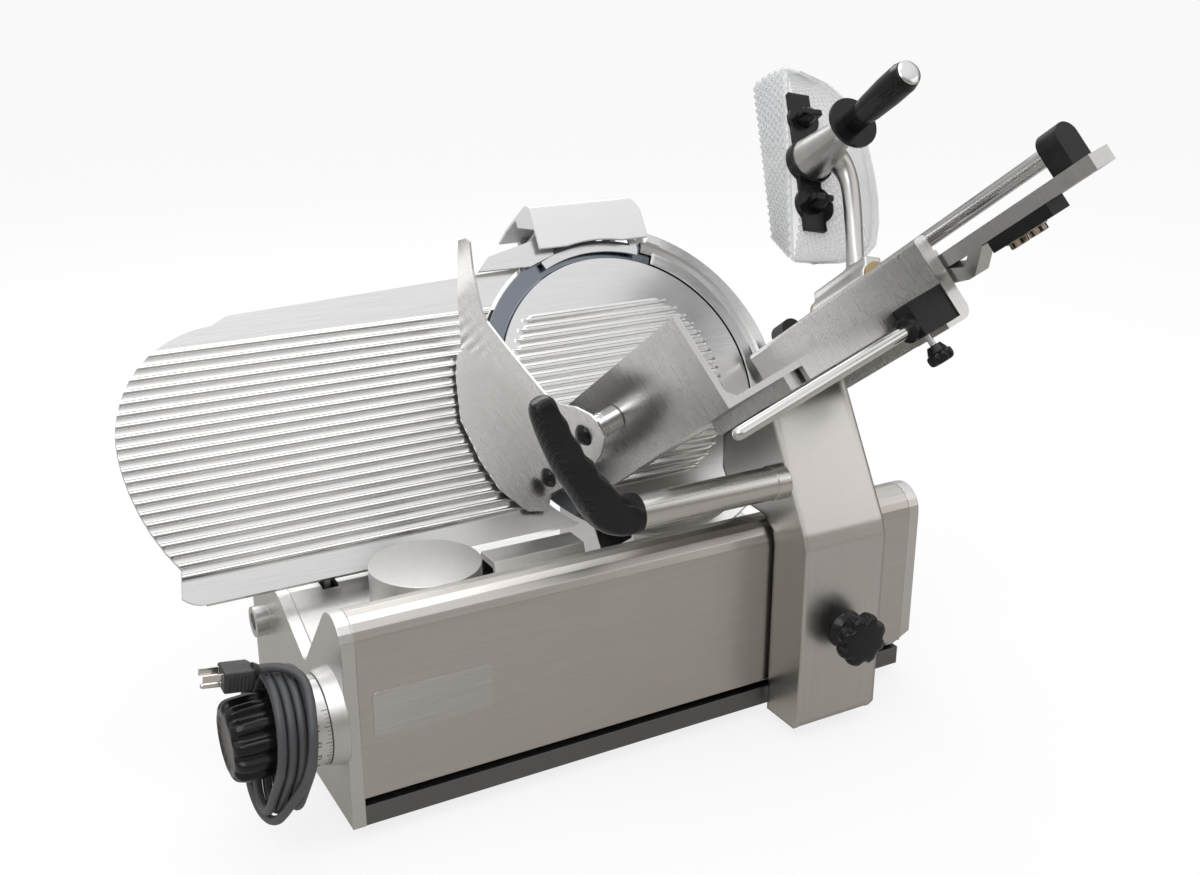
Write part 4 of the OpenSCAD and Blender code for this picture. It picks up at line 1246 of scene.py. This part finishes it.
class Carriage:
    """Lock knob, thumb screw, sleeves and bolts of the sliding arm and tray."""

    def build(self) -> list[Piece]:
        """Adds the lock knob, the thumb screw's head, the sleeves and the bolts.

        Returns:
            The new pieces.
        """
        return [self.lock_knob(), self.thumb_screw(), self.sleeves(), self.bolts()]

    @staticmethod
    def lock_knob() -> Piece:
        """Returns the lobed knob that locks the tray's arm, with its cone and stud."""
        stud = Bench.turned("lock_stud", [(5, -24), (5, 10)], 32)
        cone = Bench.turned("lock_cone",
                            [(15, 0.4), (19, 0.5), (19, 2), (14, 9.6), (11, 9.8), (11, 16)], 48)
        Bench.soften(cone, 0.5)
        head = Bench.lobed("lock_head", [(14, 15), (21, 15.4), (25, 17.5), (26.2, 21), (26.2, 28),
                                         (24.6, 31.6), (20, 33.2), (12, 33.6), (4, 33.8), (0, 33.8)],
                           8, 0.2, (17, 33), 10)
        dress(PolishedMetal("lock_steel", (0.62, 0.62, 0.62), 0.2), stud)
        dress(gloss_black("lock_gloss"), cone, head)
        knob = Bench.join("lock_grip", [stud, cone, head])
        Bench.put(knob, ROW @ shift(68, -290, 110) @ spin(90, "X"))
        return mount(knob, "tray_lock", "black_plastic", "tray_lock_knob")

    @staticmethod
    def thumb_screw() -> Piece:
        """Returns the small lobed screw that holds the cross rod."""
        stud = Bench.turned("rod_stud", [(3, 0), (3, 18)], 24)
        neck = Bench.turned("rod_neck", [(6.6, 17), (7, 17.6), (10, 24)], 32)
        head = Bench.lobed("rod_head", [(9, 24), (12, 24.6), (13, 26.5), (13, 31.5), (11.6, 34.2),
                                        (8, 35), (3, 35), (0, 35)], 8, 0.24, (24.4, 34.6))
        dress(PolishedMetal("rod_stud_steel", (0.6, 0.6, 0.6), 0.2), stud)
        dress(gloss_black("rod_screw_gloss"), neck, head)
        screw = Bench.join("rod_grip", [stud, neck, head])
        Bench.put(screw, TRAY @ shift(108, -112.5, 301) @ spin(90, "X"))
        return mount(screw, "rod_screw", "black_plastic", "thumb_screw")

    @staticmethod
    def sleeves() -> Piece:
        """Returns the plated sleeves between the fence and the tray's wall."""
        sleeve = Bench.turned("sleeve", [(11, 0.6), (11.7, 0.8), (11.7, 17), (11.2, 17.4),
                                         (11.2, 19), (12.3, 19.4), (12.3, 37.2), (11, 37.6)])
        Bench.smooth(sleeve, 30)
        places = [TRAY @ shift(-151, t, n) @ spin(90, "Y") for t, n in ((-32, 128), (-44, 22))]
        joined = Bench.join("fence_sleeves", Bench.copies(sleeve, places))
        dress(PolishedMetal("sleeve_chrome", (0.74, 0.74, 0.74), 0.1), joined)
        return mount(joined, "carriage", "polished_steel")

    @staticmethod
    def bolts() -> Piece:
        """Returns the two hexagon bolts under the stop block."""
        bolt = Bench.turned("bolt", [(9.1, 0), (9.4, 0.4), (9.4, 5.6), (8.6, 6.5), (4, 6.5)], 6)
        Bench.soften(bolt, 0.4)
        both = Bench.join("bolt", [bolt, Bench.turned("washer", [(10.6, -0.2), (10.6, 1)], 40)])
        places = [TRAY @ shift(171, -88, n) @ spin(90, "X") for n in (416, 392)]
        joined = Bench.join("block_bolts", Bench.copies(both, places))
        dress(PolishedMetal("bolt_zinc", (0.52, 0.44, 0.35), 0.24), joined)
        return mount(joined, "carriage", "bronze")


# --- Food pusher --------------------------------------------------------------------------


@dataclass
class Pusher:
    """Casting, spiked plate, wing knobs and handle end of the food pusher; its frame's X and Y."""

    bend_top: tuple[float, float] = (-27.4, 268.8)
    bend_low: tuple[float, float] = (-52.0, 40.0)
    outline: Sequence[tuple[float, float]] = (
        (-12, 267), (20, 258), (48, 238), (66, 200), (71, 160), (71, 130), (66, 98), (56, 70),
        (38, 53), (8, 44), (-24, 40))
    back: float = 144.0
    sheet: float = 4.0
    rim: float = 6.6
    flange: float = 45.0
    flange_turn: float = 22.0
    flange_top: float = 268.0
    flange_low: float = 84.0
    hub: tuple[float, float] = (-20.0, 154.0)
    arm_height: float = 176.0
    bush: float = 11.0
    arm: Sequence[Sequence[float]] = (
        (0, 8, 11, 11), (1, 24, 9, 10.5), (4, 50, 9.2, 9), (7, 80, 9.6, 9), (8.5, 104, 9.8, 9.2),
        (8, 122, 10.2, 10), (3.5, 137, 11.5, 12), (-6, 147, 14, 15), (-20, 152, 15, 16))

    def build(self) -> list[Piece]:
        """Adds the casting, the spiked plate, the wing knobs and the handle's end.

        Returns:
            The new pieces.
        """
        return [self.casting(), self.spiked_plate(),
                self.wing_knob("upper_wing", 204, "upper_screw", "upper_wing_knob"),
                self.wing_knob("lower_wing", 104, "lower_screw", "lower_wing_knob"),
                self.handle_end()]

    def casting(self) -> Piece:
        """Returns the arm, which rises from the bronze bushing and curves over into the hub."""
        arm = Bench.swept("arm", self.arm, 4, 24)
        Bench.put(arm, shift(0, 0, self.arm_height) @ spin(-90, "X"))
        hub = Bench.turned("hub", [(24, 154), (23.4, 160), (21.5, 172), (18.5, 188), (15.6, 204),
                                   (14, 214), (13.8, 233)], 48)
        Bench.put(hub, shift(*self.hub))
        barrel = Bench.turned("barrel", [(15, 112.2), (15, 207.8)], 48)
        foot = Bench.box("foot", (-10, 0, 112.2), (10, 22, 207.8))
        piece = Bench.join("pusher_casting", [arm, hub, barrel, foot])
        Bench.modify(piece, "REMESH", mode="VOXEL", voxel_size=1.5 * MM)
        Bench.modify(piece, "SMOOTH", factor=0.5, iterations=9)
        bore = Bench.turned("bore", [(self.bush, 100), (self.bush, 220)], 48)
        Bench.modify(piece, "BOOLEAN", operation="DIFFERENCE", object=bore, solver="EXACT")
        bpy.data.objects.remove(bore)
        Bench.smooth(piece, 50)
        dress(BrushedMetal("pusher_satin", (0.60, 0.59, 0.575), 0.33, Grain.CAST, 0.006, 0.03, 0.0,
                           contrast=0.03), piece)
        return mount(Bench.put(piece, PUSHER), "pusher", "cast_aluminium", "pusher_arm")

    def bend(self, along: float) -> Vector:
        """Returns the X and Y of a place on the bend between the panel and the flange."""
        return Vector(self.bend_top).lerp(Vector(self.bend_low), along)

    def panel(self, across: float, along: float) -> tuple[Vector, Vector]:
        """Gives the place and the upper normal on the panel at two shares.

        Args:
            across: Share from the bend to the free edge.
            along: Share from the top to the lower edge.

        Returns:
            The place and the normal.
        """
        edge = [Vector(point) for point in self.outline]
        where = min(max(along, 0.0), 1.0) * (len(edge) - 1)
        k = min(int(where), len(edge) - 2)
        at = self.bend(along).lerp(edge[k].lerp(edge[k + 1], where - k), across)
        past = max(at.x - 22.0, 0.0)
        tilt = Vector((0.007 * past, 0, 1)).normalized()
        return Vector((at.x, at.y, self.back - 0.0035 * past ** 2)) * MM, tilt

    def wing(self, across: float, along: float) -> tuple[Vector, Vector]:
        """Gives the place and the food side's normal on the flange at two shares."""
        turn = math.radians(self.flange_turn)
        top = Vector((*self.bend(along), self.back))
        away = Vector((self.bend_top[0] - math.sin(turn) * self.flange,
                       self.flange_top + (self.flange_low - self.flange_top) * along,
                       self.back - math.cos(turn) * self.flange))
        bulge = 12.0 * across * (1 - across) * (1 - along)
        at = top.lerp(away, across) + Vector((0, bulge, 0))
        return at * MM, Vector((-math.cos(turn), 0, math.sin(turn)))

    def spiked_plate(self) -> Piece:
        """Returns the clear bent plate with a thick rim and small points on its food side."""
        panel = Bench.sheet(Bench.grid("panel", 14, 24), self.panel, self.sheet, 0.8)
        flange = Bench.sheet(Bench.grid("flange", 8, 24), self.wing, self.sheet, 0.8)
        rim = Bench.grid("rim", 2, 40)
        rim.data.transform(Matrix.Translation((0.94, 0, 0)) @ Matrix.Diagonal((0.06, 1, 1, 1)))
        Bench.sheet(rim, self.panel, self.rim, 1.2, 3)
        spikes = [self._spikes(5, 21, self.wing, 0.04, 0.98, 6.0, 1.8),
                  self._spikes(11, 25, self.panel, 0.12, 0.95, -4.2, -1.8)]
        plate = Bench.join("spiked_guard", [panel, flange, *spikes, rim])
        Bench.smooth(plate, 25)
        dress(ClearPlastic("guard_clear", (0.76, 0.77, 0.78)), plate)
        return mount(Bench.put(plate, PUSHER), "pusher", "clear_plastic", "spike_plate")

    @staticmethod
    def _spikes(across: int, along: int, surface: Surface, low: float, high: float, height: float,
                lift: float) -> Piece:
        """Returns staggered rows of small pyramids on a surface.

        Args:
            across: Pyramids in a row.
            along: Number of rows.
            surface: The surface.
            low: Share across the surface where a row starts.
            high: Share where it ends.
            height: Height of a pyramid; below 0 it points the other way.
            lift: Height of its foot over the surface.

        Returns:
            The pyramids as one piece.
        """
        wide, deep = (high - low) / across, 1 / along
        Bench.take()
        bpy.ops.mesh.primitive_cone_add(vertices=4, radius1=0.51, radius2=0.06, depth=1.0,
                                        location=(0, 0, 0.5))
        point = Bench.fresh("spike")
        point.data.transform(Matrix.Translation((low + wide / 4, deep / 4, lift * MM))
                             @ Matrix.Diagonal((wide, deep, height * MM, 1)))
        Bench.array(point, across, wide)
        twins = Bench.copies(point, [Matrix.Identity(4),
                                     Matrix.Translation((wide / 2, deep / 2, 0))])
        both = Bench.array(Bench.join("spikes", twins), along, 0, deep)
        Bench.lay(both, surface)
        Bench.edit(both)
        Bench.close()
        return both

    def wing_knob(self, name: str, y: float, body: str, node: str) -> Piece:
        """Returns one winged screw.

        Args:
            name: The piece's name.
            y: Its place along the mounting plate.
            body: The body that it rides on.
            node: The CAD node that it replaces.

        Returns:
            The screw.
        """
        stud = Bench.turned("wing_stud", [(3, 141), (3, 155)], 24)
        hub = Bench.turned("wing_hub", [(9.4, 152.4), (10, 153.4), (9.4, 158), (8, 162.4),
                                        (6.6, 165.5), (4, 167)], 32)
        Bench.smooth(hub, 50)
        wing = Bench.box("wing", (-12, -3.4, 157), (12, 3.4, 169.8))
        Bench.edit(wing)
        bpy.ops.mesh.subdivide(number_cuts=3)
        Bench.leave()
        Bench.pick(wing, lambda at: abs(at.x) < 4 * MM and at.z > 168 * MM)
        bpy.ops.transform.translate(value=(0, 0, -2.2 * MM))
        Bench.leave()
        Bench.subdivide(wing, 2)
        dress(PolishedMetal(f"{name}_steel", (0.62, 0.62, 0.62), 0.2), stud)
        dress(gloss_black(f"{name}_gloss"), hub, wing)
        knob = Bench.join(name, [stud, hub, wing])
        Bench.put(knob, PUSHER @ shift(self.hub[0], y))
        return mount(knob, body, "black_plastic", node)

    def handle_end(self) -> Piece:
        """Returns the plated button in the handle's end."""
        cap = Bench.turned("handle_button", [(8.6, 326), (12.6, 328), (12.9, 328.6), (12.2, 329.6),
                                             (9, 330.6), (5, 331.2), (0, 331.4)])
        Bench.smooth(cap)
        dress(PolishedMetal("button_chrome", (0.76, 0.76, 0.76)), cap)
        return mount(Bench.put(cap, PUSHER @ shift(*self.hub)), "pusher", "polished_steel")


# --- Finishes of the carried-over solids --------------------------------------------------


class Wardrobe:
    """Gives every CAD solid that stays in view its finish."""

    black = (0.011, 0.011, 0.012)
    iron = (0.20, 0.20, 0.205)
    anodised = (0.76, 0.755, 0.75)
    finishes: tuple[tuple[Finish, str], ...] = (
        (gloss_black("black_gloss"),
         "cover_tie_knob fence_caps guard_disc pusher_handle mounting_plate"),
        (Moulded("black_satin", black, 0.34, dust=0.10, shine=0.25),
         "switch_box cord_gland rod_clamp guide_end_caps stop_block"),
        (PolishedMetal("ground_rod", (0.68, 0.68, 0.67), 0.13, 0.0),
         "slide_rod index_rod blade_spindle blade_bearings guide_bar cross_rod"),
        (BrushedMetal("machined_iron", iron, 0.42, Grain.ALONG_DEPTH),
         "bottom_plate guide_rail motor blade_pulley motor_pulley cam_spindle slide_block"),
        (BrushedMetal("blasted_casting", (0.70, 0.695, 0.68), 0.36, Grain.CAST, 0.012, 0.03,
                      contrast=0.03),
         "base_casting left_end_cap right_end_cap blade_head gauge_bracket"),
        (BrushedMetal("arm_casting", (0.62, 0.605, 0.585), 0.33, Grain.UPRIGHT, 0.006, 0.03, 6.0,
                      contrast=0.05), "carriage_arm"),
        (BrushedMetal("cover_sheet", (0.60, 0.575, 0.545), 0.33, Grain.ALONG_TRAVEL, 0.006, 0.03,
                      1.5, contrast=0.06), "front_cover motor_cover slice_deflector"),
        (BrushedMetal("tray_satin", (0.60, 0.595, 0.585), 0.28, Grain.ALONG_DEPTH, 0.004, 0.04,
                      0.0, TRAY, 0.06), "food_tray fence_sheet"),
        (BrushedMetal("guard_polish", (0.72, 0.72, 0.715), 0.24, Grain.ALONG_TRAVEL, 0.003, 0.03,
                      0.0, BLADE, 0.05), "ring_guard sharpener_base"),
        (BrushedMetal("handle_satin", (0.66, 0.65, 0.63), 0.26, Grain.ALONG_TRAVEL, 0.006),
         "handle_tube"),
        (BrushedMetal("beam_satin", (0.62, 0.615, 0.60), 0.34, Grain.ALONG_DEPTH, 0.006, 0.04,
                      0.0, TRAY), "guide_beam"),
        (BrushedMetal("bronze_bush", (0.42, 0.31, 0.17), 0.3), "pusher_carrier"),
        (RibbedMetal("gauge_anodised", anodised, 102, -111, 0.6), "gauge_plate"),
        (RibbedMetal("disc_anodised", anodised, 86, -106, 1.3, True), "blade_cover"),
        (TurnedMetal("blade_ground", (0.26, 0.285, 0.33), 0.20, BLADE), "blade"),
        (TurnedMetal("dial_satin", (0.76, 0.76, 0.75), 0.34, KNOB), "dial_ring"),
        (Moulded("pale_enamel", (0.78, 0.785, 0.79), 0.30, coat=0.2, dust=0.05, edge=2.0),
         "sharpener_cover"),
        (Moulded("foot_rubber", (0.025, 0.025, 0.025), 0.7, grain=260.0, depth=0.08), "rubber_feet"),
        (Moulded("belt_rubber", (0.03, 0.03, 0.03), 0.75), "drive_belt"),
        (Moulded("stone_grit", (0.16, 0.15, 0.15), 0.9, grain=1800.0, depth=0.15),
         "sharpening_stones"),
        (Moulded("start_green", (0.03, 0.33, 0.10), 0.28, coat=0.2), "start_button"),
        (Moulded("stop_red", (0.55, 0.02, 0.02), 0.28, coat=0.2), "stop_button"))

    def build(self, nodes: dict[str, Piece]) -> None:
        """Dresses the nodes.

        Args:
            nodes: The CAD objects by name.
        """
        for finish, names in self.finishes:
            dress(finish, *(nodes[name] for name in names.split()))
        log.info("CAD solids in %d finishes", len(self.finishes))


def main() -> None:
    logging.basicConfig(level=logging.INFO, format="%(name)s: %(message)s")
    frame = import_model()
    studio = Studio()
    studio.camera()
    PowerCord().build()
    studio.build()
    for part in (IndexKnob(), Base(), HandleGrip(), Carriage(), Pusher()):
        pieces = part.build()
        log.info("%s: %d pieces", type(part).__name__, len(pieces))
    Wardrobe().build(frame["nodes"])


if __name__ == "__main__":
    main()
